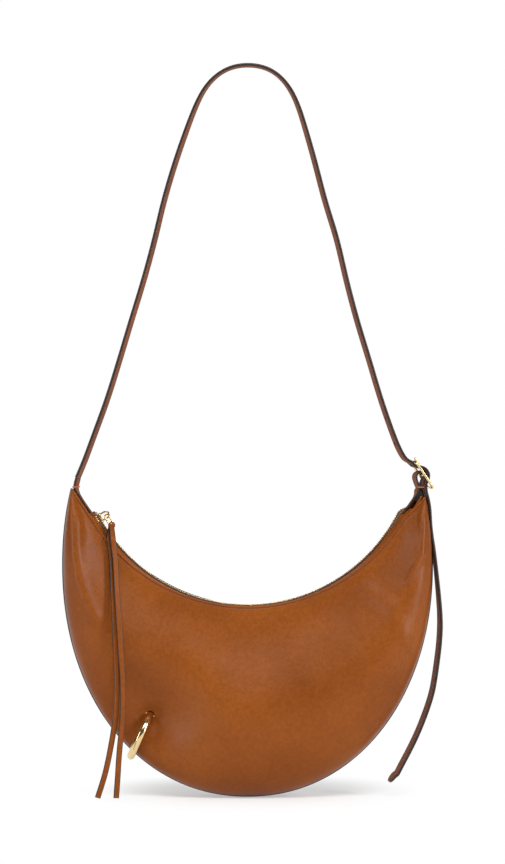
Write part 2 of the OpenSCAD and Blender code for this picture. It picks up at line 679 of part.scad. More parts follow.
// Tab: leather folded round the bar and drawn together at a bar tack
// Middle line of the tab round the bar: shares of the loop's radius, from the bar's centre
tab_loop_r = bar_r + pivot_play + tab_t / 2;
tab_loop_shares = [
    [-1.6, -2.667], [-1.578, -1.156], [-1.222, 0.178], [-0.72, 0.86], [0.044, 1.06],
    [0.86, 0.62], [1.04, -0.178], [0.72, -1.156], [-0.178, -2.667]
];
tab_mid = buckle_centre + tab_loop_r * [-0.844, -3.95];
tab_end = [(tab_t + root_gap) / 2, 0];
tab_path = curve(concat(
    [tab_mid - tab_end], [for (s = tab_loop_shares) buckle_centre + tab_loop_r * s], [tab_mid + tab_end]
), 4);
tab_w = 14.6;
module tab_loop() {
    color(tan_leather) from_bottom() difference() {
        upright(tab_w) polygon(band(tab_path, tab_t));
        translate([buckle_centre[0] - 4 * tab_loop_r, -prong_w / 2 - seat_gap,
                   buckle_centre[1] - prong_eye_out - seat_gap])
            cube([4 * tab_loop_r + prong_eye_out + seat_gap, prong_w + 2 * seat_gap, 4 * tab_loop_r]);
    }
}
tack_h = 1.2;
tack_t = 0.4;
tack_gap = 0.7;
module tab_bar_tack() {
    inner = 2 * (tab_t + tack_gap) + root_gap;
    color("#b0602a") from_bottom() translate([tab_mid[0], 0, tab_mid[1] + tack_h / 2 + root_gap])
        difference() {
            cube([inner + 2 * tack_t, tab_w, tack_h], center = true);
            cube([inner, tab_w + cut, tack_h + cut], center = true);
        }
}
tab_root_path = curve([
    filler_at(0.08, root_lift, 1), filler_at(0.4, root_lift, 1),
    filler_at(0.7, root_lift, 1), filler_at(0.88, root_lift * 0.7, 1),
    tab_mid - strap_t * [0.07, 0.93], tab_mid - [0, 2 * root_gap]
], 4);
module tab_root() {
    color(dark_leather) from_bottom() upright(root_w) polygon(band(tab_root_path, strap_t));
}

// Tail of the strap: shares of its drop, sideways and down from where it hangs
tail_shares = [
    [0, 0], [0.0146, 0.0587], [0.0196, 0.1137], [0.0266, 0.168], [0.0317, 0.2225], [0.0384, 0.332],
    [0.0435, 0.4406], [0.0417, 0.4956], [0.0369, 0.55], [0.0214, 0.659], [0.0077, 0.7137],
    [-0.011, 0.768], [-0.0332, 0.823], [-0.0587, 0.877], [-0.0878, 0.932], [-0.123, 1]
];
tail_path = curve([for (s = tail_shares) tail_pivot + [s[0], -s[1]] * tail_l], 4);
tail_end = tail_path[len(tail_path) - 1];
tail_end_dir = unit(tail_end - tail_path[len(tail_path) - 2]);
// Half circle round the pivot at the tail's upper end
tail_head_side = side(tail_path, 0, -strap_t / 2) - tail_path[0];
tail_head_angle = atan2(tail_head_side[1], tail_head_side[0]);
tail_head = [for (i = [1:11])
    let (a = tail_head_angle - 180 * i / 12) tail_path[0] + [cos(a), sin(a)] * strap_t / 2];
// Rounds the free end: what lies past a half circle of the strap's width is cut away
module tail_end_cut() {
    translate([tail_end[0], 0, tail_end[1]])
        rotate([0, -atan2(tail_end_dir[1], tail_end_dir[0]), 0])
            translate([-strap_w / 2, 0, 0]) difference() {
                translate([0, -strap_w, -strap_w]) cube([strap_w, 2 * strap_w, 2 * strap_w]);
                cylinder(h = 4 * strap_w, r = strap_w / 2, center = true, $fn = 48);
            }
}
module strap_tail() {
    color(dark_leather) from_bottom() difference() {
        upright(strap_w) polygon(concat(band(tail_path, strap_t), tail_head));
        tail_end_cut();
    }
}

// Eyelet through the pinched leather, in two halves, and the ring
module eyelet_tube(from, to) {
    translate([eyelet_centre[0], 0, eyelet_centre[1]]) rotate([90, 0, 0]) difference() {
        translate([0, 0, from]) cylinder(h = to - from, r = eyelet_r + eyelet_t, $fn = 64);
        translate([0, 0, from - cut]) cylinder(h = to - from + 2 * cut, r = eyelet_r, $fn = 64);
    }
}
module eyelet_front() { color(edge_paint) from_bottom() eyelet_tube(0, eyelet_half); }
module eyelet_back() { color(edge_paint) from_bottom() eyelet_tube(-eyelet_half, 0); }
module piercing_ring() {
    color(pale_gold) from_bottom() translate([ring_centre[0], 0, ring_centre[1]])
        rotate([0, 90 + ring_lean, 0]) rotate_extrude($fn = 96)
            translate([ring_r, 0]) circle(ring_wire_d / 2, $fn = 32);
}

front_panel();
back_panel();
lining_front();
lining_back();
inner_pocket();
gusset_left();
gusset_right();
facing_front();
facing_back();
zip_tape_front();
zip_tape_back();
zip_teeth_front();
zip_teeth_back();
zip_stop_left();
zip_stop_right();
strap_root();
tab_root();
eyelet_front();
eyelet_back();
slider_body();
slider_bridge();
pull_loop();
thong_fold();
thong_keeper();
thong_tail_left();
thong_tail_right();
strap();
buckle_frame();
buckle_bar();
buckle_prong();
tab_loop();
tab_bar_tack();
strap_tail();
piercing_ring();
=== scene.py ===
import math

import bmesh
import bpy
import numpy as np
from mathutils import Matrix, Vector, noise


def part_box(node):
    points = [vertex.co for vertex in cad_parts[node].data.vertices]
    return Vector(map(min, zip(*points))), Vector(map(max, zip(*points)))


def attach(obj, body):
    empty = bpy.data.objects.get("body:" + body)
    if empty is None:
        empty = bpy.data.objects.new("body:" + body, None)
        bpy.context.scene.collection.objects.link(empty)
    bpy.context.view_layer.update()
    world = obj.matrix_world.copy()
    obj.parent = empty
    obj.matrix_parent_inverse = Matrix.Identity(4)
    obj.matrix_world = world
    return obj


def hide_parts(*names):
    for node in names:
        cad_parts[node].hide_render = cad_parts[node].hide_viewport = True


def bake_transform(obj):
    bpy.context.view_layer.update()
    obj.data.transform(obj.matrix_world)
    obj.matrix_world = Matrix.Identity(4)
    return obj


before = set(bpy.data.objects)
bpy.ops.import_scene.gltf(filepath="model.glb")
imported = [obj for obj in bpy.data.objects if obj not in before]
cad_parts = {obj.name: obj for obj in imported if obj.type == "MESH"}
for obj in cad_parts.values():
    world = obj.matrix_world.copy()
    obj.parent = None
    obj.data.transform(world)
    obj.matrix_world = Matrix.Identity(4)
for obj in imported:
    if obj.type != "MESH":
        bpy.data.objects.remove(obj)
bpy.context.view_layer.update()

# Looks of a crescent crossbody bag in tan leather. Sizes are in millimetres. Heights are
# measured up from the bag's lowest point, and place() turns both into the frame's metres.
MM = 0.001


def box_mm(node):
    """Lowest and highest corner of a CAD node's box."""
    low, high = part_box(node)
    return np.array(low) / MM, np.array(high) / MM


# Bag body, read from the frame where it shows there
panel_low, panel_high = box_mm("front_panel")
hang_h = -panel_low[2]
half_w = panel_high[0]
half_d = -panel_low[1]
oval_rise = 214.0
tip_h = 284.0
tip_d = 19.0
leather_t = 1.6
lining_t = 0.8
lining_gap = 0.4
outline_power = 2.1
crown_share = 0.4
crown_rows_share = 0.5
depth_power = 2.8
crown_power = 0.7
# The outline's tips are cut back where the sewn edge ends
tip_cut = 1.6 * leather_t

# Mouth and zip
zip_r = 155.0
# The zip sits this much lower between the panels than the solids' round arc
zip_sink = 1.3
mouth_h = tip_h + 48.0
mouth_angle = math.radians(64)
edge_drop = 5.0
edge_r = 166.8
edge_h = 342.7
edge_angle = math.radians(58.5)
# The front panel's right tip hangs a little lower than the other three
low_tip_h = 276.5
mouth_w = 20.0
edge_mid_y = mouth_w / 2 + leather_t
slit = 0.7
tooth_pitch = 2.4
tooth_w = 2.3
tooth_h = 2.4
tooth_side = slit + tooth_w
tape_t = 0.5
facing_t = 1.2
seat_gap = 0.3

# Slider and pull
slider_angle = math.radians(61)
slider_l = 9.0
plate_t = 1.2
plate_z = tooth_h / 2 + seat_gap
plate_top = plate_z + plate_t
bridge_w = 3.2
bridge_t = 1.7
loop_wire_r = 0.7
loop_l = 11.0
loop_w = 6.0
loop_tilt = math.radians(35)
thong_w = 4.6
thong_t = 1.6
tail_gap = 0.25

# Strap
strap_w = 15.0
strap_t = 2.8
# The paint on a strap's cut edge runs this far over its two faces
edge_paint_w = 0.5
hole_r = 1.8
hole_pitch = 25.0
first_hole = 31.0
hole_count = 3

# Ring and eyelet
ring_low, ring_high = box_mm("piercing_ring")
ring_wire_r = 3.7
ring_lean = math.radians(25)
ring_mid = (ring_low + ring_high) / 2
eyelet_low, eyelet_high = box_mm("eyelet_front")
eyelet_mid = (eyelet_low + eyelet_high) / 2
# The ring draws both panels in to this depth around the eyelet, and dimples them beside it
pinched_y = 9.8
pinch_reach = 46.0
pinch_power = 4
dimple_depth = 5.0
dimple_reach = 8.5


def place(points):
    """Millimetres, with heights from the bag's lowest point, to the frame's metres."""
    shifted = np.array(points, dtype=float)
    shifted[..., 2] -= hang_h
    return shifted * MM


def unit(vectors):
    return vectors / np.linalg.norm(vectors, axis=-1, keepdims=True)


# Outline and surface of a panel

def signed_power(value, power):
    return np.sign(value) * np.abs(value) ** power


def oval(angle):
    """Point (x, height) of the bag's outline at an angle from its lowest point."""
    share = 2 / outline_power
    return np.stack([
        half_w * signed_power(np.sin(angle), share),
        oval_rise - oval_rise * signed_power(np.cos(angle), share),
    ], axis=-1)


def on_mouth(radius, angle):
    """Point (x, height) at this distance and angle from the centre of the zip's arc."""
    return np.stack([radius * np.sin(angle), mouth_h - radius * np.cos(angle)], axis=-1)


def tip_turn(height):
    """Angle of the outline at a tip of this height."""
    return np.pi / 2 + np.arcsin(((height - oval_rise) / oval_rise) ** (outline_power / 2))


def tip_place(height):
    return oval(tip_turn(height)) - np.array([tip_cut, tip_cut / 2])


arc_end = edge_r * np.array([math.sin(edge_angle), -math.cos(edge_angle)]) + [0, edge_h]
straight_len = np.linalg.norm(tip_place(tip_h) - arc_end)
arc_share = edge_r * edge_angle / (edge_r * edge_angle + straight_len)


def top_edge(u, right_tip):
    """Point (x, height) of a panel's top edge: an arc, then straight lines to the two tips."""
    reach = np.abs(u)
    angle = edge_angle * np.minimum(reach, arc_share) / arc_share
    on_arc = np.stack([edge_r * np.sin(angle), edge_h - edge_r * np.cos(angle)], axis=-1)
    past = np.clip((reach - arc_share) / (1 - arc_share), 0, 1)[..., None]
    ends = np.where((u > 0)[..., None], tip_place(right_tip), tip_place(tip_h))
    point = on_arc + past * (ends - arc_end)
    return point * np.stack([np.where(u < 0, -1.0, 1.0), np.ones_like(u)], axis=-1)


def face(u, t, right_tip):
    """Point of the front panel's outer face: u runs along the bag, t from seam to top edge."""
    below = np.clip(t / crown_rows_share, 0, 1)
    above = np.clip((t - crown_rows_share) / (1 - crown_rows_share), 0, 1)
    lower = t < crown_rows_share
    across = np.where(lower, crown_share * (1 - np.cos(np.pi / 2 * below)),
                      crown_share + (1 - crown_share) * above)
    crown = tip_d / 2 + (half_d - tip_d / 2) * np.clip(1 - np.abs(u) ** depth_power, 0, 1) ** crown_power
    past = np.clip((np.abs(u) - arc_share) / (1 - arc_share), 0, 1)
    edge = edge_mid_y + (tip_d / 2 - edge_mid_y) * past
    depth = np.where(lower, crown * np.sin(np.pi / 2 * below),
                     edge + (crown - edge) * (1 + np.cos(np.pi * above)) / 2)
    seam = oval(u * np.where(u > 0, tip_turn(right_tip), tip_turn(tip_h)))
    flat = seam + (top_edge(u, right_tip) - seam) * across[..., None]
    from_eyelet = np.hypot(flat[..., 0] - eyelet_mid[0], flat[..., 1] - (eyelet_mid[2] + hang_h))
    pinch = np.exp(-(from_eyelet / pinch_reach) ** 2)
    drawn_in = depth * pinched_y / (depth ** pinch_power + pinched_y ** pinch_power) ** (1 / pinch_power)
    depth = depth * (1 - pinch) + drawn_in * pinch
    depth = depth - dimple_depth * np.exp(-(from_eyelet / dimple_reach) ** 2)
    return np.stack([flat[..., 0], -depth, flat[..., 1]], axis=-1)


# Step for slopes along u and t, which both run over about 1
tiny = 0.002
fine_count = 400


def edge_radius(angles, right_tip):
    """Distance from the zip arc's centre to a panel's top edge in each direction."""
    found = []
    for height in (tip_h, right_tip):
        x, rise = (top_edge(np.linspace(tiny, 1, fine_count), height) - np.array([0, mouth_h])).T
        found.append(np.interp(np.abs(angles), np.arctan2(x, -rise), np.hypot(x, rise)))
    return np.where(angles > 0, found[1], found[0])


def step_up(values, start, reach):
    """Smooth step from 0 to 1 that begins at start and takes reach."""
    share = np.clip((values - start) / reach, 0, 1)
    return share * share * (3 - 2 * share)


def face_normal(u, t, right_tip):
    """Direction out of the panel's face; along the seam it stays in the bag's middle plane."""
    u0, u1 = np.maximum(u - tiny, -1), np.minimum(u + tiny, 1)
    t0, t1 = np.maximum(t - tiny, 0), np.minimum(t + tiny, 1)
    along = face(u1, t, right_tip) - face(u0, t, right_tip)
    up = face(u, t1, right_tip) - face(u, t0, right_tip)
    normal = unit(np.cross(along, up))
    at_seam = t < tiny
    normal[..., 1] = np.where(at_seam, 0, normal[..., 1])
    return unit(normal)


def ridge(points, line, width):
    """How near each point lies to a line of (x, height) places: 1 on it, 0 far away."""
    best = np.full(points.shape[:-1], np.inf)
    for a, b in zip(line[:-1], line[1:]):
        a, b = np.array(a, float), np.array(b, float)
        share = np.clip(((points - a) @ (b - a)) / ((b - a) @ (b - a)), 0, 1)
        best = np.minimum(best, np.linalg.norm(points - a - share[..., None] * (b - a), axis=-1))
    return np.exp(-(best / width) ** 2)


def ripple(points, size, seed, stretch=(1, 1)):
    """Smooth noise with waves about size long, from -1 to 1."""
    flat = points.reshape(-1, 2) * np.array(stretch) / size
    return np.array([noise.noise((x, y, seed)) for x, y in flat]).reshape(points.shape[:-1])


# Soft folds that the filled leather shows: a line, its width and its height
LEATHER_FOLDS = [
    ([(-156, 270), (-157.6, 248), (-157.6, 225), (-155, 204), (-150, 188), (-141, 168)], 6.0, 3.0),
    ([(159, 268), (161, 248), (160, 224), (147, 199)], 3.0, 1.9),
    ([(-104, 92), (-112, 112), (-122, 136)], 9.0, -1.2),
    ([(112, 190), (132, 176), (143, 150)], 8.0, 1.5),
    ([(-30, 176), (10, 168), (60, 176)], 9.0, 0.5),
]
# Gentle waves all over it: their size, height, seed and stretch
LEATHER_WAVES = [(60, 0.9, 0, (1, 1)), (22, 0.35, 3, (1, 1)), (7, 0.1, 5, (1, 1.8))]


def softness(points, seed):
    """Folds and gentle waves of the leather, as a height out of the panel's face."""
    height = sum(amount * ridge(points, line, width) for line, width, amount in LEATHER_FOLDS)
    return height + sum(amount * ripple(points, size, seed + more, stretch)
                        for size, amount, more, stretch in LEATHER_WAVES)


# Top edge: the leather is turned over and sewn down behind a groove
turned_w = 2.1
turned_bulge = 0.35
edge_round = 0.8
groove_w = 0.5
groove_depth = 0.45
# Past the groove the leather puffs up a little and then lies flat
puff_h = 0.3
puff_from = 1.0
puff_rise = 3.0
puff_fade = 16.0
roll_rows = np.concatenate([np.linspace(0, 1.0, 7), np.linspace(1.2, 4.4, 17)])
# On a short column the rows of the turned edge take at most this share of it
zone_share = 0.4
body_row_count = 60
column_count = 300


def turned_edge(s, zone):
    """Height of the turned edge and its groove at a distance s below the top edge."""
    scale = zone / roll_rows[-1]
    reach = s / scale
    bulge = turned_bulge * np.sin(np.pi * np.clip(reach / turned_w, 0, 1)) ** 0.8
    groove = groove_depth * np.exp(-((reach - turned_w - groove_w / 2) / groove_w) ** 2)
    corner = edge_round - np.sqrt(np.maximum(edge_round ** 2 - np.maximum(edge_round - reach, 0) ** 2, 0))
    past = reach - turned_w
    puff = puff_h * np.clip((past - puff_from) / puff_rise, 0, 1) * np.exp(-np.maximum(past, 0) / puff_fade)
    return (bulge - groove - corner + puff) * scale


def panel_grid(right_tip):
    """u and t of the panel's rows and columns: the rows are dense under the top edge."""
    u = np.linspace(-1, 1, column_count + 1)[:, None]
    fine = np.linspace(1, 0, fine_count)[None, :]
    walk = face(u + 0 * fine, fine + 0 * u, right_tip)
    steps = np.linalg.norm(np.diff(walk, axis=1), axis=-1)
    travelled = np.concatenate([np.zeros((len(u), 1)), np.cumsum(steps, axis=1)], axis=1)
    length = travelled[:, -1]
    zone = np.minimum(roll_rows[-1], zone_share * length)
    shares = np.linspace(0, 1, body_row_count + 1)[1:]
    below = zone[:, None] + (length - zone)[:, None] * shares
    distance = np.concatenate([roll_rows[None, :] * (zone / roll_rows[-1])[:, None], below], axis=1)
    t = np.array([np.interp(row, line, fine[0]) for row, line in zip(distance, travelled)])
    t[:, -1] = 0
    return u + 0 * t, t, distance, zone[:, None] + 0 * t, length[:, None] + 0 * t


# Mesh building

def grid_quads(rows, columns, start=0, turned=False):
    index = start + np.arange(rows * columns).reshape(rows, columns)
    quads = np.stack([index[:-1, :-1], index[1:, :-1], index[1:, 1:], index[:-1, 1:]], axis=-1).reshape(-1, 4)
    return quads[:, ::-1] if turned else quads


def tube_faces(count, around, closed=False):
    """Faces between count outlines of around points; the ends get a cap unless it closes on itself."""
    index = np.arange(count * around).reshape(count, around)
    after = np.roll(index, -1, axis=1)
    if closed:
        corners = index, after, np.roll(after, -1, axis=0), np.roll(index, -1, axis=0)
    else:
        corners = index[:-1], after[:-1], after[1:], index[1:]
    faces = [list(f) for f in np.stack(corners, axis=-1).reshape(-1, 4)]
    return faces if closed else faces + [list(index[0])[::-1], list(index[-1])]


def shell(outer, inner):
    """Closed sheet between two grids of points, with faces in a steady order."""
    rows, columns = outer.shape[:2]
    count = rows * columns
    index = np.arange(count).reshape(rows, columns)
    rims = []
    for line, turned in ((index[:, 0], True), (index[:, -1], False), (index[0], False), (index[-1], True)):
        quads = np.stack([line[:-1], line[1:], line[1:] + count, line[:-1] + count], axis=-1)
        rims.append(quads[:, ::-1] if turned else quads)
    faces = np.concatenate([grid_quads(rows, columns), grid_quads(rows, columns, count, True)] + rims)
    return np.concatenate([outer.reshape(-1, 3), inner.reshape(-1, 3)]), faces


def mark_sharp(mesh, degrees):
    """Turns all faces outwards and smooths them, apart from edges that bend by more than this."""
    edited = bmesh.new()
    edited.from_mesh(mesh)
    bmesh.ops.recalc_face_normals(edited, faces=edited.faces)
    limit = math.radians(degrees)
    for edge in edited.edges:
        edge.smooth = len(edge.link_faces) == 2 and edge.calc_face_angle(0) < limit
    for polygon in edited.faces:
        polygon.smooth = True
    edited.to_mesh(mesh)
    edited.free()


# Edges that bend by more degrees than this look sharp on a piece
usual_sharp = 40


def make_mesh_object(name, points, faces, materials, face_materials=None, sharp=usual_sharp):
    """Object at the origin with its place in its mesh; points are in millimetres."""
    mesh = bpy.data.meshes.new(name)
    mesh.from_pydata(place(points).tolist(), [], [list(map(int, f)) for f in faces])
    for material in materials:
        mesh.materials.append(material)
    if face_materials is not None:
        mesh.polygons.foreach_set("material_index", np.array(face_materials, dtype=np.int32))
    mark_sharp(mesh, sharp)
    made = bpy.data.objects.new(name, mesh)
    bpy.context.scene.collection.objects.link(made)
    return made


def apply_modifiers(made):
    """Turns what the modifiers give into the object's own plain mesh."""
    graph = bpy.context.evaluated_depsgraph_get()
    mesh = bpy.data.meshes.new_from_object(made.evaluated_get(graph), depsgraph=graph)
    made.modifiers.clear()
    made.data = mesh


def cut_away(made, cutters):
    """Cuts the cutters' shapes out of a piece and removes them."""
    for number, cutter in enumerate(cutters):
        modifier = made.modifiers.new("cut%d" % number, "BOOLEAN")
        modifier.operation = "DIFFERENCE"
        modifier.solver = "EXACT"
        modifier.object = cutter
    apply_modifiers(made)
    for cutter in cutters:
        bpy.data.objects.remove(cutter)
    mark_sharp(made.data, usual_sharp)


def seat(made, body, material_slot, *nodes):
    """Rides on a body and stands for the named nodes; its material_slot argument is not used."""
    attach(made, body)
    if nodes:
        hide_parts(*nodes)
    return made


def rod(name, start, end, radius, material, sides=48):
    """Round rod between two points."""
    start, end = np.array(start, float), np.array(end, float)
    along = unit(end - start)
    helper = np.array([1.0, 0, 0]) if abs(along[0]) < 0.9 else np.array([0, 1.0, 0])
    first = unit(np.cross(along, helper))
    second = np.cross(along, first)
    angles = np.linspace(0, 2 * np.pi, sides, endpoint=False)[:, None]
    ring = radius * (np.cos(angles) * first + np.sin(angles) * second)
    points = np.concatenate([start + ring, end + ring])
    return make_mesh_object(name, points, tube_faces(2, sides), [material])


def rounded_section(width, thickness, corner, per_corner=5, per_side=8):
    """Closed outline of a strap: (across, out) points, with its edges rounded."""
    points = []
    for sx, sy, start in ((1, 1, 0), (-1, 1, 90), (-1, -1, 180), (1, -1, 270)):
        for k in range(per_corner):
            angle = math.radians(start + 90 * k / (per_corner - 1))
            points.append((sx * (width / 2 - corner) + corner * math.cos(angle),
                           sy * (thickness / 2 - corner) + corner * math.sin(angle)))
    full = []
    for a, b in zip(points, points[1:] + points[:1]):
        steps = per_side if math.dist(a, b) > width / 2 else 1
        full += [(a[0] + (b[0] - a[0]) * i / steps, a[1] + (b[1] - a[1]) * i / steps) for i in range(steps)]
    return np.array(full)


def run_lengths(points):
    """Distance along a line from its start to each of its points."""
    return np.concatenate([[0], np.cumsum(np.linalg.norm(np.diff(points, axis=0), axis=1))])


def resample(points, step):
    """Smooth curve through the points, with a point every step."""
    p = np.concatenate([[2 * points[0] - points[1]], points, [2 * points[-1] - points[-2]]])
    share = np.linspace(0, 1, 9)[:-1, None]
    parts = []
    for i in range(1, len(p) - 2):
        a, b, c, d = p[i - 1], p[i], p[i + 1], p[i + 2]
        parts.append((2 * b + (c - a) * share + (2 * a - 5 * b + 4 * c - d) * share ** 2
                      + (3 * b - a - 3 * c + d) * share ** 3) / 2)
    dense = np.concatenate(parts + [points[-1:]])
    travelled = run_lengths(dense)
    count = max(2, int(round(travelled[-1] / step)))
    wanted = np.linspace(0, travelled[-1], count + 1)
    return np.stack([np.interp(wanted, travelled, dense[:, k]) for k in range(dense.shape[1])], axis=-1)


def sweep(name, line, side, section, materials, turns=None, widths=None, paint_from=None, lean=0.0):
    """Moves a section along a line; side is the direction of its width, and turns twist it."""
    count, ring = len(line), len(section)
    along = unit(np.gradient(line, axis=0))
    across = np.array(side, float) - along * (along @ np.array(side, float))[:, None]
    across = unit(across)
    out = np.cross(across, along)
    turns = np.zeros(count) if turns is None else turns
    widths = np.ones(count) if widths is None else widths
    turned_across = across * np.cos(turns)[:, None] + out * np.sin(turns)[:, None]
    turned_out = out * np.cos(turns)[:, None] - across * np.sin(turns)[:, None]
    points = (line[:, None, :] + turned_across[:, None, :] * section[None, :, :1] * widths[:, None, None]
              + turned_out[:, None, :] * section[None, :, 1:])
    points[..., 0] -= points[..., 1] * np.reshape(lean, (-1, 1))
    painted = None
    if paint_from is not None:
        middle = (section + np.roll(section, -1, axis=0)) / 2
        edge = (np.abs(middle[:, 0]) > paint_from).astype(int)
        painted = list(np.tile(edge, count - 1)) + [1, 1]
    return make_mesh_object(name, points.reshape(-1, 3), tube_faces(count, ring), materials, painted)


def middle_line(node, start):
    """Middle line (x, height) of a CAD band that is square to the front, from the end near start."""
    edited = bmesh.new()
    edited.from_mesh(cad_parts[node].data)
    bmesh.ops.remove_doubles(edited, verts=edited.verts, dist=1e-7)
    front = min(v.co.y for v in edited.verts)
    faces = {f for f in edited.faces if all(abs(v.co.y - front) < 2e-6 for v in f.verts)}
    links = {}
    for polygon in faces:
        for edge in polygon.edges:
            if sum(other in faces for other in edge.link_faces) == 1:
                a, b = edge.verts
                links.setdefault(a, []).append(b)
                links.setdefault(b, []).append(a)
    first = next(iter(links))
    loop, before, here = [first], None, first
    while True:
        after = [v for v in links[here] if v is not before][0]
        if after is first:
            break
        loop.append(after)
        before, here = here, after
    outline = np.array([(v.co.x / MM, v.co.z / MM + hang_h) for v in loop])
    edited.free()
    middles = (outline + np.roll(outline, -1, axis=0)) / 2
    nearest = int(np.argmin(np.linalg.norm(middles - np.array(start), axis=1)))
    outline = np.roll(outline, -(nearest + 1), axis=0)
    half = len(outline) // 2
    return (outline[:half] + outline[::-1][:half]) / 2


def upright(line):
    """(x, height) points as places in the bag's middle plane."""
    return np.stack([line[:, 0], np.zeros(len(line)), line[:, 1]], axis=-1)


# Materials

def linear(hex_colour):
    """sRGB hex to a linear colour with alpha."""
    values = [int(hex_colour[i:i + 2], 16) / 255 for i in (1, 3, 5)]
    return [v / 12.92 if v <= 0.04045 else ((v + 0.055) / 1.055) ** 2.4 for v in values] + [1]


def add_node(tree, kind, settings=None, inputs=None):
    """Adds a node with its settings; each input is a value or another node's output."""
    node = tree.nodes.new(kind)
    for key, value in (settings or {}).items():
        setattr(node, key, value)
    for key, value in (inputs or {}).items():
        if isinstance(value, bpy.types.NodeSocket):
            tree.links.new(value, node.inputs[key])
        else:
            node.inputs[key].default_value = value
    return node


def per_metre(pattern_mm):
    """Scale of a pattern whose cells are this many millimetres wide."""
    return 1 / (pattern_mm * MM)


def new_material(name):
    material = bpy.data.materials.new(name)
    material.use_nodes = True
    tree = material.node_tree
    shader = tree.nodes["Principled BSDF"]
    return material, tree, shader


def patches(tree, where, pattern_mm, colours, detail=3):
    """Colour that drifts through the given colours in patches about pattern_mm wide."""
    drift = add_node(tree, "ShaderNodeTexNoise", inputs={
        "Vector": where, "Scale": per_metre(pattern_mm), "Detail": detail, "Roughness": 0.55})
    ramp = add_node(tree, "ShaderNodeValToRGB", inputs={"Fac": drift.outputs["Fac"]})
    low, high = 0.3, 0.7
    elements = ramp.color_ramp.elements
    elements[0].position, elements[0].color = low, linear(colours[0])
    elements[1].position, elements[1].color = high, linear(colours[-1])
    for k, colour in enumerate(colours[1:-1], 1):
        elements.new(low + (high - low) * k / (len(colours) - 1)).color = linear(colour)
    return ramp.outputs["Color"], drift.outputs["Fac"]


# Leather: width of its dye's clouds, of its specks and of its creases, and the creases' depth
dye_mm = 70
speck_mm = 3.0
crease_mm = 9
crease_depth_mm = 0.5


def leather(name, colours, roughness, grain_mm, grain_depth_mm):
    """Aniline-dyed calf leather, milled soft: fine pebbled grain, mottled dye, a soft wax sheen."""
    material, tree, shader = new_material(name)
    where = add_node(tree, "ShaderNodeTexCoord").outputs["Object"]
    dye, _ = patches(tree, where, dye_mm, colours)
    specks, speck = patches(tree, where, speck_mm, ["#d8d8d8", "#ffffff"], detail=2)
    colour = add_node(tree, "ShaderNodeMix", {"data_type": "RGBA", "blend_type": "MULTIPLY"},
                      {"Factor": 0.55, "A": dye, "B": specks})
    cells = add_node(tree, "ShaderNodeTexVoronoi", {"feature": "SMOOTH_F1"},
                     {"Vector": where, "Scale": per_metre(grain_mm), "Smoothness": 0.6, "Randomness": 1})
    pebble = add_node(tree, "ShaderNodeBump", inputs={
        "Height": cells.outputs["Distance"], "Strength": 0.35, "Distance": grain_depth_mm * MM})
    crease = add_node(tree, "ShaderNodeTexNoise", inputs={
        "Vector": where, "Scale": per_metre(crease_mm), "Detail": 5, "Roughness": 0.62, "Distortion": 0.6})
    creased = add_node(tree, "ShaderNodeBump", inputs={
        "Height": crease.outputs["Fac"], "Strength": 0.35, "Distance": crease_depth_mm * MM,
        "Normal": pebble.outputs["Normal"]})
    sheen_spread = add_node(tree, "ShaderNodeMapRange", inputs={
        "Value": speck, "From Min": 0.3, "From Max": 0.7,
        "To Min": roughness - 0.05, "To Max": roughness + 0.07})
    tree.links.new(colour.outputs[2], shader.inputs["Base Color"])
    tree.links.new(sheen_spread.outputs[0], shader.inputs["Roughness"])
    tree.links.new(creased.outputs["Normal"], shader.inputs["Normal"])
    shader.inputs["IOR"].default_value = 1.5
    shader.inputs["Specular IOR Level"].default_value = 0.2
    return material


# Edge paint: width and depth of its lumps. Cloth: width of its faded patches and depth of its weave.
lump_mm = 12
lump_depth_mm = 0.2
fade_mm = 25
weave_depth_mm = 0.25
# Plating: width and depth of the wear from handling
wear_mm = 4
wear_depth_mm = 0.1


def painted_edge(name, colours):
    """Edge paint on cut leather: thick acrylic coats, nearly black and satin."""
    material, tree, shader = new_material(name)
    where = add_node(tree, "ShaderNodeTexCoord").outputs["Object"]
    colour, drift = patches(tree, where, lump_mm, colours)
    lumps = add_node(tree, "ShaderNodeBump", inputs={
        "Height": drift, "Strength": 0.3, "Distance": lump_depth_mm * MM})
    tree.links.new(colour, shader.inputs["Base Color"])
    tree.links.new(lumps.outputs["Normal"], shader.inputs["Normal"])
    shader.inputs["Roughness"].default_value = 0.38
    return material


def woven(name, colours, thread_mm, roughness):
    """Woven cotton or polyester: crossing threads, matt with a faint fuzz."""
    material, tree, shader = new_material(name)
    where = add_node(tree, "ShaderNodeTexCoord").outputs["Object"]
    colour, _ = patches(tree, where, fade_mm, colours)
    threads = []
    for direction in ("X", "Z"):
        wave = add_node(tree, "ShaderNodeTexWave", {"bands_direction": direction}, {
            "Vector": where, "Scale": per_metre(thread_mm) / (2 * math.pi), "Distortion": 0.4, "Detail": 1})
        threads.append(wave.outputs["Fac"])
    crossed = add_node(tree, "ShaderNodeMath", {"operation": "MULTIPLY"}, {0: threads[0], 1: threads[1]})
    weave = add_node(tree, "ShaderNodeBump", inputs={
        "Height": crossed.outputs[0], "Strength": 0.6, "Distance": weave_depth_mm * MM})
    tree.links.new(colour, shader.inputs["Base Color"])
    tree.links.new(weave.outputs["Normal"], shader.inputs["Normal"])
    shader.inputs["Roughness"].default_value = roughness
    shader.inputs["Sheen Weight"].default_value = 0.2
    return material


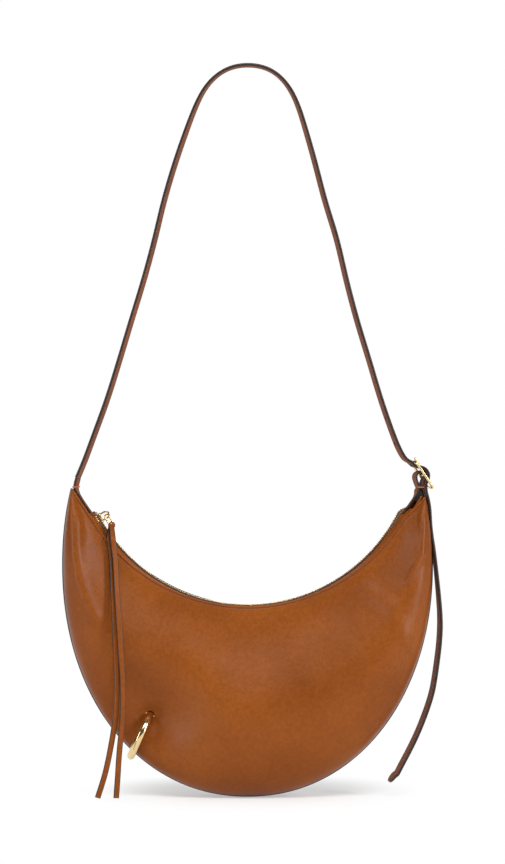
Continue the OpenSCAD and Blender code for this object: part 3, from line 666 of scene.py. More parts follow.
def plated_metal(name, colour, roughness):
    """Polished and plated zinc alloy: a clear mirror with hairline wear from handling."""
    material, tree, shader = new_material(name)
    where = add_node(tree, "ShaderNodeTexCoord").outputs["Object"]
    wear = add_node(tree, "ShaderNodeTexNoise", inputs={
        "Vector": where, "Scale": per_metre(wear_mm), "Detail": 4, "Roughness": 0.6})
    spread = add_node(tree, "ShaderNodeMapRange", inputs={
        "Value": wear.outputs["Fac"], "From Min": 0.35, "From Max": 0.7,
        "To Min": roughness * 0.75, "To Max": roughness * 1.4})
    dents = add_node(tree, "ShaderNodeBump", inputs={
        "Height": wear.outputs["Fac"], "Strength": 0.08, "Distance": wear_depth_mm * MM})
    tree.links.new(spread.outputs[0], shader.inputs["Roughness"])
    tree.links.new(dents.outputs["Normal"], shader.inputs["Normal"])
    shader.inputs["Base Color"].default_value = linear(colour)
    shader.inputs["Metallic"].default_value = 1
    return material


# Pebbled grain is 0.5 mm on such calf; it is drawn coarser so that it shows at this size
tan_leather = leather("tan_calf_leather", ["#763a05", "#7f4009", "#85450c"], 0.39, 1.5, 0.16)
# The strap's firmer leather is darker and drier
strap_leather = leather("strap_calf_leather", ["#683411", "#723a14", "#7c4119"], 0.6, 1.3, 0.12)
edge_paint = painted_edge("edge_paint", ["#120d0b", "#1e1613"])
# Pale cotton inside and dark polyester round the zip, both drawn with coarser threads than real ones
cotton = woven("lining_cotton", ["#bda988", "#c9b79a"], 0.9, 0.85)
zip_cloth = woven("zip_tape_polyester", ["#4e3122", "#5f3d29"], 0.7, 0.75)
# Pale warm gold that mirrors the studio clearly
gold = plated_metal("pale_gold_plating", "#ecd09a", 0.13)
# Waxed thread: brown in the panels' seams, and a brighter orange in the bar tacks
stitch_thread = woven("waxed_polyester_thread", ["#5c2c0c", "#6b3410"], 0.4, 0.7)
tack_thread = woven("bar_tack_thread", ["#9a4a14", "#a8541c"], 0.4, 0.7)


# Geometry Nodes: one piece repeated along a line

def repeat_tree():
    tree = bpy.data.node_groups.new("repeat_along_line", "GeometryNodeTree")
    sockets = tree.interface
    sockets.new_socket("Line", in_out="INPUT", socket_type="NodeSocketGeometry")
    sockets.new_socket("Piece", in_out="INPUT", socket_type="NodeSocketObject")
    sockets.new_socket("Pitch", in_out="INPUT", socket_type="NodeSocketFloat")
    sockets.new_socket("Finish", in_out="INPUT", socket_type="NodeSocketMaterial")
    sockets.new_socket("Pieces", in_out="OUTPUT", socket_type="NodeSocketGeometry")
    given = add_node(tree, "NodeGroupInput").outputs
    curve = add_node(tree, "GeometryNodeMeshToCurve", inputs={"Mesh": given["Line"]})
    spaced = add_node(tree, "GeometryNodeResampleCurve", {"mode": "LENGTH"},
                      {"Curve": curve.outputs[0], "Length": given["Pitch"]})
    piece = add_node(tree, "GeometryNodeObjectInfo", inputs={"Object": given["Piece"]})
    tangent = add_node(tree, "GeometryNodeInputTangent")
    up = add_node(tree, "GeometryNodeInputNamedAttribute", {"data_type": "FLOAT_VECTOR"}, {"Name": "up"})
    along = add_node(tree, "FunctionNodeAlignRotationToVector", {"axis": "X"},
                     {"Vector": tangent.outputs[0]})
    stood = add_node(tree, "FunctionNodeAlignRotationToVector", {"axis": "Z", "pivot_axis": "X"},
                     {"Rotation": along.outputs[0], "Vector": up.outputs[0]})
    copies = add_node(tree, "GeometryNodeInstanceOnPoints", inputs={
        "Points": spaced.outputs[0], "Instance": piece.outputs["Geometry"], "Rotation": stood.outputs[0]})
    real = add_node(tree, "GeometryNodeRealizeInstances", inputs={"Geometry": copies.outputs[0]})
    finished = add_node(tree, "GeometryNodeSetMaterial", inputs={
        "Geometry": real.outputs[0], "Material": given["Finish"]})
    add_node(tree, "NodeGroupOutput", inputs={"Pieces": finished.outputs[0]})
    return tree


repeat_group = repeat_tree()


def repeat_along(name, line, ups, piece, pitch, material):
    """Copies of a small piece every pitch along a line, its X along it and its Z along ups."""
    mesh = bpy.data.meshes.new(name)
    mesh.from_pydata(place(line).tolist(), [(i, i + 1) for i in range(len(line) - 1)], [])
    facing = mesh.attributes.new("up", "FLOAT_VECTOR", "POINT")
    facing.data.foreach_set("vector", np.array(ups, dtype=np.float32).ravel())
    made = bpy.data.objects.new(name, mesh)
    bpy.context.scene.collection.objects.link(made)
    modifier = made.modifiers.new("repeat", "NODES")
    modifier.node_group = repeat_group
    values = {"Piece": piece, "Pitch": pitch * MM, "Finish": material}
    for item in repeat_group.interface.items_tree:
        if item.name in values:
            modifier[item.identifier] = values[item.name]
    apply_modifiers(made)
    return made


def small_piece(name, blocks, corner, material):
    """Rounded blocks of (length, width, height, shift across) near the origin, for copying."""
    edited = bmesh.new()
    for length, width, height, shift in blocks:
        block = bmesh.ops.create_cube(edited, size=1)["verts"]
        bmesh.ops.scale(edited, vec=(length * MM, width * MM, height * MM), verts=block)
        bmesh.ops.translate(edited, vec=(0, shift * MM, 0), verts=block)
        edges = [edge for edge in edited.edges if edge.verts[0] in block]
        bmesh.ops.bevel(edited, geom=edges, offset=corner * MM, segments=2, profile=0.5, affect="EDGES")
    mesh = bpy.data.meshes.new(name)
    edited.to_mesh(mesh)
    edited.free()
    mesh.materials.append(material)
    mark_sharp(mesh, 60)
    return bpy.data.objects.new(name, mesh)


stitch_l = 2.3
stitch_t = 0.55
stitch_round = 0.45 * stitch_t
stitch_pitch = 3.1
stitch = small_piece("one_stitch", [(stitch_l, stitch_t, stitch_t, 0)], stitch_round, stitch_thread)


# Camera: straight from the front, near the object's middle. The photo is this many pixels high, and
# each of them is photo_scale millimetres of the bag.
photo_height = 864
photo_scale = 0.924
camera_distance = 2800.0
camera_x = 4.6
camera_z = -338.0
sensor_h = 24
camera_data = bpy.data.cameras.new("camera")
camera_data.sensor_fit = "VERTICAL"
camera_data.sensor_height = sensor_h
camera_data.lens = sensor_h * camera_distance / (photo_height * photo_scale)
camera = bpy.data.objects.new("camera", camera_data)
camera.location = (camera_x * MM, -camera_distance * MM, camera_z * MM)
camera.rotation_euler = (math.pi / 2, 0, 0)
bpy.context.scene.collection.objects.link(camera)
bpy.context.scene.camera = camera


# Piercing ring, and the leather sleeve that it runs through

ring_out_r = 25.0
hole_room = 0.45
sleeve_t = 0.5
# The sleeve follows the ring for this angle to each side of its top
sleeve_reach = 0.2
ring_dir = np.array([-math.sin(ring_lean), 0, -math.cos(ring_lean)])


def ring_shape(name, wire_r, material, start=0.0, end=2 * math.pi, around=192, tube=48):
    """Torus on the ring's circle, or the part of it between two angles from its lowest point."""
    centre = np.array([ring_mid[0], 0, ring_mid[2] + hang_h])
    whole = math.isclose(end - start, 2 * math.pi)
    a = np.linspace(start, end, around, endpoint=not whole)[:, None, None]
    b = np.linspace(0, 2 * np.pi, tube, endpoint=False)[None, :, None]
    radial = np.cos(a) * ring_dir + np.sin(a) * np.array([0, 1, 0])
    axis = np.cross(ring_dir, np.array([0, 1, 0]))
    points = centre + radial * (ring_out_r - ring_wire_r + wire_r * np.cos(b)) + axis * wire_r * np.sin(b)
    return make_mesh_object(name, points.reshape(-1, 3), tube_faces(around, tube, whole), [material])


def make_ring():
    ring = ring_shape("piercing_ring", ring_wire_r, gold)
    return seat(ring, "ring", "gold_metal", "piercing_ring")


def make_sleeve():
    """Dark sleeve between the two panels' holes, close round the ring's curve."""
    sleeve = ring_shape("ring_sleeve", ring_wire_r + hole_room + sleeve_t, edge_paint,
                        math.pi - sleeve_reach, math.pi + sleeve_reach, 24)
    cut_away(sleeve, [ring_shape("sleeve_bore", ring_wire_r + hole_room, edge_paint)])
    return seat(sleeve, "bag", "dark_metal", "eyelet_front", "eyelet_back")


# Panels, lining and pocket. The folds fade out near the seam, the sewn top edge and the eyelet.
seam_fade = 12.0
edge_fade = 10.0
eyelet_flat = 9.0
eyelet_fade = 10.0
seam_groove_depth = 0.5
seam_groove_w = 1.6
# The stitches stand out of their groove by this share of their thickness
stitch_proud = 0.25


def mirrored(points):
    return points * np.array([1, -1, 1])


def make_panel(name, body_side, seed, right_tip):
    u, t, distance, zone, length = panel_grid(right_tip)
    points = face(u, t, right_tip)
    normal = face_normal(u, t, right_tip)
    flat = points[..., [0, 2]]
    to_seam = length - distance
    fade = np.clip(to_seam / seam_fade, 0, 1) * np.clip((distance - zone) / edge_fade, 0, 1)
    to_eyelet = np.hypot(flat[..., 0] - eyelet_mid[0], flat[..., 1] - eyelet_mid[2] - hang_h)
    fade = fade * np.clip((to_eyelet - eyelet_flat) / eyelet_fade, 0, 1)
    seam_groove = seam_groove_depth * np.exp(-(to_seam / seam_groove_w) ** 2)
    height = turned_edge(distance, zone) + softness(flat, seed) * fade - seam_groove
    outer = points + normal * height[..., None]
    inner = points - normal * leather_t
    if body_side < 0:
        outer, inner = mirrored(outer), mirrored(inner)
    verts, faces = shell(outer, inner)
    panel = make_mesh_object(name, verts, faces, [tan_leather, edge_paint], sharp=50)
    cut_away(panel, [ring_shape("eyelet_hole", ring_wire_r + hole_room, edge_paint)])
    seat(panel, "bag", "tan_leather", name)
    return outer, unit(mirrored(normal) if body_side < 0 else normal)


def groove_stitches(name, outer, normal):
    """Stitches that lie in the groove below the turned edge."""
    at = int(np.argmin(np.abs(roll_rows - turned_w - groove_w / 2)))
    line = outer[2:-2, at] + normal[2:-2, at] * stitch_t * stitch_proud
    made = repeat_along(name, line, normal[2:-2, at], stitch, stitch_pitch, stitch_thread)
    return seat(made, "bag", "thread")


for panel_name, side, seed, tip in (("front_panel", 1, 2.5, low_tip_h), ("back_panel", -1, 7.5, tip_h)):
    groove_stitches(panel_name + "_stitches", *make_panel(panel_name, side, seed, tip))


# The lining's slack waves: their height, their size and the most that they may stand towards the leather
slack_h = 0.12
slack_mm = 14
slack_most = 0.1


def make_inner_sheet(name, body_side, inset, reach, rise, columns, rows):
    """Cloth on the inside of a panel, with small slack waves; reach and rise are shares of the panel."""
    u, t = np.meshgrid(np.linspace(-reach, reach, columns + 1), np.linspace(*rise, rows + 1), indexing="ij")
    points, normal = face(u, t, tip_h), face_normal(u, t, tip_h)
    wave = slack_h * ripple(points[..., [0, 2]], slack_mm, body_side * 4.0)[..., None]
    outer = points - normal * (inset - np.minimum(wave, slack_most))
    inner = points - normal * (inset + lining_t - wave)
    if body_side < 0:
        outer, inner = mirrored(outer), mirrored(inner)
    verts, faces = shell(outer, inner)
    sheet = make_mesh_object(name, verts, faces, [cotton], sharp=50)
    if name != "inner_pocket":
        cut_away(sheet, [ring_shape("lining_hole", ring_wire_r + hole_room, cotton)])
    return seat(sheet, "bag", "lining", name)


lining_inset = leather_t + lining_gap
pocket_inset = lining_inset + lining_t + seat_gap
# The lining stops short of the tips, the seam and the top edge; the pocket is on its upper part
for lining_name, lining_side in (("lining_front", 1), ("lining_back", -1)):
    make_inner_sheet(lining_name, lining_side, lining_inset, 18 / 22, (1 / 12, 11 / 12), 120, 60)
make_inner_sheet("inner_pocket", -1, pocket_inset, 6 / 22, (5 / 12, 10 / 12), 50, 40)


# Painted seam round the outline, where the two panels' cut edges are sewn together
seam_w = 2.4
seam_proud = 0.9
seam_round = 0.75


def make_seam_edge():
    """Bead of edge paint all along the sewn outline."""
    angles = np.linspace(-tip_turn(tip_h), tip_turn(low_tip_h), 361)
    line = upright(oval(angles))
    section = rounded_section(seam_w, 2 * seam_proud, seam_round, per_side=3)
    bead = sweep("seam_edge", line, (0, 1, 0), section, [edge_paint])
    return seat(bead, "bag", "tan_leather")


make_seam_edge()


# Leather fillers between the panels at the two tips

filler_drop = 0.6
filler_start = on_mouth(edge_radius(np.array([mouth_angle]), tip_h)[0] + filler_drop, np.array(mouth_angle))
filler_dir = unit(tip_place(tip_h) - filler_start)
filler_up = np.array([-filler_dir[1], filler_dir[0]])
filler_len = np.linalg.norm(tip_place(tip_h) - filler_start) - 3 * leather_t
# It sags between the panels, less towards the tip, with small creases across
sag_at_zip = 2.6
sag_lost = 1.4
crease_h = 0.3
crease_turn = 0.55


def make_gusset(name, side_sign):
    """Leather filler from the zip's end to a tip, sunk between the panels."""
    rows, columns = 24, 16
    along = np.linspace(0, filler_len, rows + 1)[:, None]
    across = np.linspace(-1, 1, columns + 1)[None, :]
    share = along / along.max()
    half = (mouth_w / 2 - seat_gap) * (1 - share) + (tip_d / 2 - leather_t - seat_gap) * share
    arch = 1 - across ** 2
    rise = -strap_t - (sag_at_zip - sag_lost * share - crease_h * np.sin(along * crease_turn)) * arch
    top_x = filler_start[0] + filler_dir[0] * along + filler_up[0] * rise
    top_h = filler_start[1] + filler_dir[1] * along + filler_up[1] * rise
    outer = np.stack([side_sign * top_x, across * half, top_h], axis=-1)
    drop = -leather_t * filler_up
    inner = outer + np.array([side_sign * drop[0], 0, drop[1]])
    verts, faces = shell(outer, inner)
    gusset = make_mesh_object(name, verts, faces, [tan_leather], sharp=50)
    return seat(gusset, "bag", "tan_leather", name)


for gusset_word, gusset_side in (("left", -1), ("right", 1)):
    make_gusset("gusset_" + gusset_word, gusset_side)


# Zip: facing strips, tapes, teeth and stops. Towards its ends the zip dips between the panels.

dip = 12.0
dip_from = math.radians(62.8)
dip_reach = math.radians(7.2)
strip_dip = 1.6
strip_dip_from = math.radians(54)
strip_dip_reach = math.radians(7)
right_end = math.radians(66.3)


def zip_radius(angles):
    """Radius of the zip's line, which dips at its two ends."""
    return zip_r + zip_sink + dip * step_up(np.abs(angles), dip_from, dip_reach)


def arc_sweep(name, rings, angles, materials, body_side, painted=None):
    """Closed outlines of (radius, depth) points, one for each angle round the zip's arc."""
    flat = on_mouth(rings[..., 0], angles[:, None])
    points = np.stack([flat[..., 0], body_side * rings[..., 1], flat[..., 1]], axis=-1)
    count, ring = points.shape[:2]
    if painted is not None:
        painted = list(np.tile(painted, count - 1)) + [1, 1]
    return make_mesh_object(name, points.reshape(-1, 3), tube_faces(count, ring), materials, painted)


def join(name, parts):
    """Several loose meshes as one piece."""
    edited = bmesh.new()
    for part in parts:
        edited.from_mesh(part.data)
    mesh = bpy.data.meshes.new(name)
    edited.to_mesh(mesh)
    edited.free()
    for material in parts[0].data.materials:
        mesh.materials.append(material)
    for part in parts:
        bpy.data.objects.remove(part)
    made = bpy.data.objects.new(name, mesh)
    bpy.context.scene.collection.objects.link(made)
    return made


strip_round = 0.3
# The painted edge takes this share of a strip's width, counted for both ends of a face
strip_paint = 0.12


def strip_rings(inner_r, inner_y, outer_r, outer_y, thickness):
    """Outlines of a strip between two edges, its thickness laid below the line between them."""
    section = rounded_section(1, thickness, strip_round, per_side=6)
    share = section[:, 0] + 0.5
    radius = inner_r[:, None] + (outer_r - inner_r)[:, None] * share + thickness / 2 + section[:, 1]
    depth = inner_y + (outer_y - inner_y) * share + 0 * radius
    return np.stack([radius, depth], axis=-1), (np.roll(share, -1) + share < strip_paint).astype(int)


cord_r = 0.7
cord_in = 0.35
facing_in_y = tooth_side + 0.25
facing_out_y = mouth_w / 2 - seat_gap
facing_drop = 0.45
panel_lap = 0.5
tape_under = facing_t + 0.1
tape_in_y = facing_in_y + 0.3
# The tape's last part rises to the teeth between these two edges
rise_top_drop = 0.3
rise_top_y = tooth_side - 0.2
rise_low_drop = tape_under + 0.4
rise_low_y = facing_in_y + 0.5
# The back facing's painted edge stands up behind the teeth left of the middle
lift_h = 2.3
lift_mid = math.radians(-24)
lift_reach = math.radians(17)


def make_zip_side(word, body_side):
    """Facing and tape on one side of the zip."""
    angles = np.linspace(-mouth_angle, right_end, 181)
    inner_r = zip_radius(angles) + facing_drop
    inner_r += strip_dip * step_up(np.abs(angles), strip_dip_from, strip_dip_reach)
    if body_side > 0:
        inner_r -= lift_h * np.exp(-((angles - lift_mid) / lift_reach) ** 4)
    outer_r = edge_radius(angles, low_tip_h if body_side < 0 else tip_h) + panel_lap
    outer_r = np.maximum(outer_r, inner_r)
    rings, edge = strip_rings(inner_r, facing_in_y, outer_r, facing_out_y, facing_t)
    facing = arc_sweep("facing_" + word, rings, angles, [tan_leather, edge_paint], body_side, edge)
    seat(facing, "bag", "tan_leather", "facing_" + word)
    # The tape lies under the facing and rises to the teeth
    rings, _ = strip_rings(np.maximum(inner_r, zip_radius(angles)) + tape_under, tape_in_y,
                           outer_r + tape_under, facing_out_y, tape_t)
    tape = arc_sweep("tape_cloth", rings, angles, [zip_cloth], body_side)
    steep, _ = strip_rings(zip_radius(angles) + rise_top_drop, rise_top_y,
                           inner_r + rise_low_drop, rise_low_y, tape_t)
    tape_rise = arc_sweep("tape_rise", steep, angles, [zip_cloth], body_side)
    # Corded edge of the tape, which the teeth are clamped round
    turn = np.linspace(0, 2 * np.pi, 12, endpoint=False)
    cord_angles = angles[angles > -stop_angle]
    cord_radius = zip_radius(cord_angles)[:, None] + cord_r * np.cos(turn)
    cord_depth = tooth_side - cord_in + cord_r * np.sin(turn) + 0 * cord_radius
    cord_rings = np.stack([cord_radius, cord_depth], axis=-1)
    cord = arc_sweep("tape_cord", cord_rings, cord_angles, [zip_cloth], body_side)
    seat(join("zip_tape_" + word, [tape, tape_rise, cord]), "bag", "zip_tape", "zip_tape_" + word)


stop_l = 1.6
stop_round = 0.35
stop_angle = slider_angle + (slider_l / 2 + seat_gap + stop_l / 2) / zip_r
teeth_angle = stop_angle - (stop_l / 2 + seat_gap / 2) / zip_r
for zip_word, zip_side in (("front", -1), ("back", 1)):
    make_zip_side(zip_word, zip_side)


# Metal tooth pressed on the tape's edge: a rounded block with a nose that locks
tooth_l = tooth_pitch * 0.5
TOOTH_BLOCKS = [(tooth_l, tooth_w, tooth_h, 0),
                (tooth_l * 1.3, tooth_w * 0.36, tooth_h * 0.7, tooth_w * 0.32)]
tooth_round = 0.25
# The rows begin and end this many teeth inside the stops
first_tooth = 0.55
last_tooth = 2


def make_teeth(word, body_side, shift):
    """One row of teeth; shift moves it along by a share of the pitch."""
    start = -teeth_angle + (first_tooth + shift) * tooth_pitch / zip_r
    end = right_end - (last_tooth - shift) * tooth_pitch / zip_r
    angles = np.linspace(start, end, 361)
    flat = on_mouth(zip_radius(angles), angles)
    depth = body_side * (slit + tooth_w / 2)
    line = np.stack([flat[:, 0], np.full(len(flat), depth), flat[:, 1]], axis=-1)
    # The tooth's nose points at the other row: its Y is up cross along
    toward = np.stack([-np.sin(angles), np.zeros(len(angles)), np.cos(angles)], axis=-1) * -body_side
    tooth = small_piece("one_tooth_" + word, TOOTH_BLOCKS, tooth_round, gold)
    teeth = repeat_along("zip_teeth_" + word, line, toward, tooth, tooth_pitch, gold)
    return seat(teeth, "bag", "gold_metal", "zip_teeth_" + word)


make_teeth("front", -1, 0)
make_teeth("back", 1, 0.5)


def on_zip(points, angle):
    """Local points (along the zip, depth, towards the arc's centre) to their place at an angle."""
    points = np.array(points, float)
    radial = zip_r + zip_sink - points[..., 2]
    x = radial * math.sin(angle) + points[..., 0] * math.cos(angle)
    h = mouth_h - radial * math.cos(angle) + points[..., 0] * math.sin(angle)
    return np.stack([x, points[..., 1], h], axis=-1)


def rounded_box(name, low, high, corner, angle, material):
    """Rounded block from low to high in the slider's own directions, placed on the zip."""
    edited = bmesh.new()
    block = bmesh.ops.create_cube(edited, size=1)["verts"]
    low, high = np.array(low, float), np.array(high, float)
    for v in block:
        v.co = Vector((low + high) / 2 + np.array(v.co) * (high - low))
    bmesh.ops.bevel(edited, geom=edited.edges[:], offset=corner, segments=3, profile=0.5, affect="EDGES")
    points = on_zip([list(v.co) for v in edited.verts], angle)
    edited.verts.index_update()
    faces = [[v.index for v in f.verts] for f in edited.faces]
    edited.free()
    return make_mesh_object(name, points, faces, [material], sharp=60)


for stop_word, stop_at in (("left", -stop_angle), ("right", right_end - stop_l / zip_r)):
    stop_drop = zip_r + zip_sink - zip_radius(stop_at)
    stop = rounded_box("zip_stop_" + stop_word, (-stop_l / 2, -tooth_side, stop_drop - tooth_h / 2),
                       (stop_l / 2, tooth_side, stop_drop + tooth_h / 2), stop_round, stop_at, gold)
    seat(stop, "bag", "gold_metal", "zip_stop_" + stop_word)

# Slider: its post and its lips stand a little inside its plates
post_sunk = 0.2
post_round = 0.15
post_front = -slider_l / 6
lip_sunk = 0.5
lip_round = 0.2
lip_back = -slider_l * 0.3
lip_front = slider_l * 0.14
lip_t = plate_t * 0.6
plate_w = 2 * (tooth_side + seat_gap + lip_t)
# Slider plate: shares of its half length and half width round its outline, and how its edges round off
PLATE_SHARES = [(-1, 0.55), (-0.86, 0.86), (-0.55, 1.0), (-0.1, 1.0), (0.35, 0.86), (0.75, 0.74), (1, 0.6)]
PLATE_EDGE = [(0, 0.88), (0.12, 0.97), (0.3, 1.0)]


def plate(name, z0, z1):
    """Slider plate with a waisted outline: wide shoulders at the front, drawn in at the mouth."""
    outline = [(x * slider_l / 2, w * plate_w / 2) for x, w in PLATE_SHARES]
    outline = outline + [(x, -w) for x, w in outline[::-1]]
    rings = [(z0 + z, s) for z, s in PLATE_EDGE] + [(z1 - z, s) for z, s in PLATE_EDGE[::-1]]
    points = [[x * s, w * s, z] for z, s in rings for x, w in outline]
    faces = tube_faces(len(rings), len(outline))
    return make_mesh_object(name, on_zip(points, -slider_angle), faces, [gold], sharp=50)


def make_slider():
    parts = [plate("top_plate", plate_z, plate_top), plate("bottom_plate", -plate_top, -plate_z)]
    post_low = -slider_l / 2 + post_sunk, seat_gap - slit, -plate_z - post_sunk
    post_high = post_front, slit - seat_gap, plate_z + post_sunk
    parts.append(rounded_box("post", post_low, post_high, post_round, -slider_angle, gold))
    for low_y in (-plate_w / 2, plate_w / 2 - lip_t):
        low, high = (lip_back, low_y, tape_t + seat_gap), (lip_front, low_y + lip_t, plate_z + lip_sunk)
        parts.append(rounded_box("lip", low, high, lip_round, -slider_angle, gold))
    return seat(join("slider_body", parts), "slider", "gold_metal", "slider_body")


make_slider()

# The pull's loop leans by loop_tilt, and the bridge and the leather fold leave it this room
pull_room = 0.2
loop_drop = loop_w / 2 * math.sin(loop_tilt)
pivot_z = plate_top + seat_gap + loop_wire_r + loop_drop
pivot_room = loop_wire_r / math.cos(loop_tilt) + bridge_w / 2 * math.tan(loop_tilt) + pull_room
bridge_sunk = 0.1
bridge_round = 0.4


def make_bridge():
    """Arch along the zip that holds the pull's loop, swept with a rounded section."""
    radius = pivot_room + bridge_t / 2
    centre = pivot_z + zip_sink
    post = np.linspace(plate_top - bridge_sunk, centre, 5)[:-1]
    arch = [[-radius, 0, z] for z in post]
    arch += [[-radius * math.cos(a), 0, centre + radius * math.sin(a)] for a in np.linspace(0, math.pi, 25)]
    arch += [[radius, 0, z] for z in post[::-1]]
    section = rounded_section(bridge_w, bridge_t, bridge_round, per_side=2)
    bridge = sweep("slider_bridge", on_zip(arch, -slider_angle), (0, 1, 0), section, [gold])
    return seat(bridge, "slider", "gold_metal", "slider_bridge")


make_bridge()

# Leather pull: fold round the loop's end, head, and two tails one behind the other
fold_w = 3.0
fold_in_r = loop_wire_r / math.cos(loop_tilt) + fold_w / 2 * math.tan(loop_tilt) + pull_room
fold_t = 0.75 * thong_t
fold_mid_r = fold_in_r + fold_t / 2
fold_round = 0.4
thong_radius = math.hypot(loop_l, zip_r - pivot_z)
thong_angle = -slider_angle + math.atan(loop_l / (zip_r - pivot_z))
thong_x, thong_h = on_mouth(thong_radius, np.array(thong_angle))
keeper_r = thong_t + tail_gap
swing_y = -(loop_w / 2 * math.cos(loop_tilt) + loop_wire_r + seat_gap + keeper_r)


def make_fold():
    """Leather wrapped round the end of the pull's loop."""
    angles = np.linspace(0, 2 * math.pi, 49)
    line = np.stack([thong_x + fold_mid_r * np.cos(angles), thong_h + fold_mid_r * np.sin(angles)], axis=-1)
    section = rounded_section(fold_w, fold_t, fold_round, per_side=3)
    fold = sweep("thong_fold", upright(line), (0, 1, 0), section, [tan_leather])
    return seat(fold, "pull_fold", "tan_leather", "thong_fold")


# Half of the rolled head's profile: shares of its half width and of its radius, from the middle out
ROLL_SHARES = [(0, 0.92), (0.15, 0.96), (0.5, 1), (0.86, 0.97), (0.96, 0.86), (1, 0.6), (1, 0.0)]
roll_half = thong_w / 2 + 0.75


def make_keeper():
    """Rolled head of the pull: leather wound into a short roll with soft ends."""
    stations = [(-x, r) for x, r in ROLL_SHARES[:0:-1]] + ROLL_SHARES
    turn = np.linspace(0, 2 * math.pi, 36, endpoint=False)
    points = [[thong_x + x * roll_half, swing_y + keeper_r * r * math.cos(a),
               thong_h + keeper_r * r * math.sin(a)] for x, r in stations for a in turn]
    # The end stations are single points, so they need no caps
    faces = tube_faces(len(stations), len(turn))[:-2]
    keeper = make_mesh_object("thong_keeper", points, faces, [tan_leather], sharp=70)
    edited = bmesh.new()
    edited.from_mesh(keeper.data)
    bmesh.ops.remove_doubles(edited, verts=edited.verts, dist=1e-6)
    edited.to_mesh(keeper.data)
    edited.free()
    return seat(keeper, "pull_head", "tan_leather", "thong_keeper")


# Where the tails' middles hang: x and height down each one
LEFT_TAIL = [(-128.2, 243.0), (-126.6, 231.0), (-124.7, 217.0), (-122.4, 181.0), (-120.4, 144.0),
             (-119.2, 107.0), (-120.2, 79.0), (-122.4, 61.5), (-124.4, 50.0), (-127.0, 36.5),
             (-130.6, 21.5), (-136.6, 2.4)]
RIGHT_TAIL = [(-124.2, 243.0), (-123.0, 231.0), (-121.2, 217.0), (-118.6, 181.0), (-116.0, 144.0),
              (-113.7, 107.0), (-113.7, 79.0), (-115.1, 61.5), (-116.2, 50.0), (-117.3, 36.5),
              (-118.2, 21.5), (-119.6, 2.4)]
roof_drop = pivot_z + edge_drop
crown_drop = (1 - crown_share) * (mouth_h - zip_r - edge_drop)
pull_gap = 0.5
tail_w = 5.2
tail_round = 0.6
# The tails start inside the rolled head, and swell out this share early
head_in_share = 0.2
head_down_share = 0.75
early_share = 0.06
# The tails' turn settles within this length
tail_untwist = 120.0


def drape_line(table, off):
    """Middle line of a tail: over the mouth's edge, then down the swelling front."""
    start_y = edge_mid_y + pull_gap + thong_t / 2
    drop = np.linspace(roof_drop + thong_t, thong_h - table[-1][1], 80)
    share = np.clip((drop - roof_drop) / crown_drop + early_share, 0, 1)
    bulge = (half_d - edge_mid_y) * (1 - np.cos(math.pi * share)) / 2
    head = [-swing_y + keeper_r * head_in_share, thong_h - keeper_r * head_down_share]
    side = np.concatenate([[head], np.stack([start_y + bulge, thong_h - drop], axis=-1)])
    along = unit(np.gradient(side, axis=0))
    side = side + np.stack([-along[:, 1], along[:, 0]], axis=-1) * off
    smooth = resample(np.array([(thong_x, thong_h)] + table), step=1.0)[::-1]
    x = np.interp(side[:, 1], smooth[:, 1], smooth[:, 0])
    return resample(np.stack([x, -side[:, 0], side[:, 1]], axis=-1), step=2.0)


def make_tail_strip(name, table, off, turn_top, turn_low):
    """One flat tail; off lays it over the other one, and it turns from turn_top to turn_low degrees."""
    line = drape_line(table, off)
    section = rounded_section(tail_w, thong_t, tail_round, per_side=4)
    turns = np.radians(turn_top + (turn_low - turn_top) * step_up(run_lengths(line), 0, tail_untwist))
    strip = sweep(name, line, (1, 0, 0), section, [tan_leather, edge_paint], turns=turns,
                  paint_from=tail_w / 2 - edge_paint_w)
    return seat(strip, "pull_tails", "tan_leather", name)


make_fold()
make_keeper()
make_tail_strip("thong_tail_left", LEFT_TAIL, 0, 50, 14)
make_tail_strip("thong_tail_right", RIGHT_TAIL, thong_t + tail_gap, 18, 14)


# Strap, its roots, the tab and the loose tail

strap_round = 1.1
strap_section = rounded_section(strap_w, strap_t, strap_round, per_side=8)
# The strap hangs a little turned, so that its inner face shows from the front
strap_turn = math.radians(9.5)
# At the buckle everything leans: its front edge stands this share of its depth to the right
hang_lean = math.tan(math.radians(11))
# The strap's end and the loose tail hang closer to the tip than the solids
end_close = 2.0
# How far from the strap's end its turn gives way to the lean, and over what length
lean_from = 72.0
lean_reach = 30.0
# The same for its move towards the tip, and for the end of the part whose bends are evened out
close_from = 18.0
close_reach = 16.0
smooth_until = 55.0
smooth_reach = 15.0
# This many points are evened out together
smooth_points = 17
# The top of the strap, where it lies on the shoulder, isn't turned
top_half_l = 45.0


def smoothed(line, run, until):
    """Evens out the bends of a line up to a given length; its ends stay where they are."""
    window = np.hanning(smooth_points + 2)[1:-1]
    window /= window.sum()
    beside = smooth_points // 2
    padded = np.pad(line, ((beside, beside), (0, 0)), mode="reflect", reflect_type="odd")
    even = np.stack([np.convolve(padded[:, k], window, mode="valid") for k in range(2)], axis=-1)
    share = np.clip((until - run) / smooth_reach, 0, 1)[:, None]
    return line + (even - line) * share


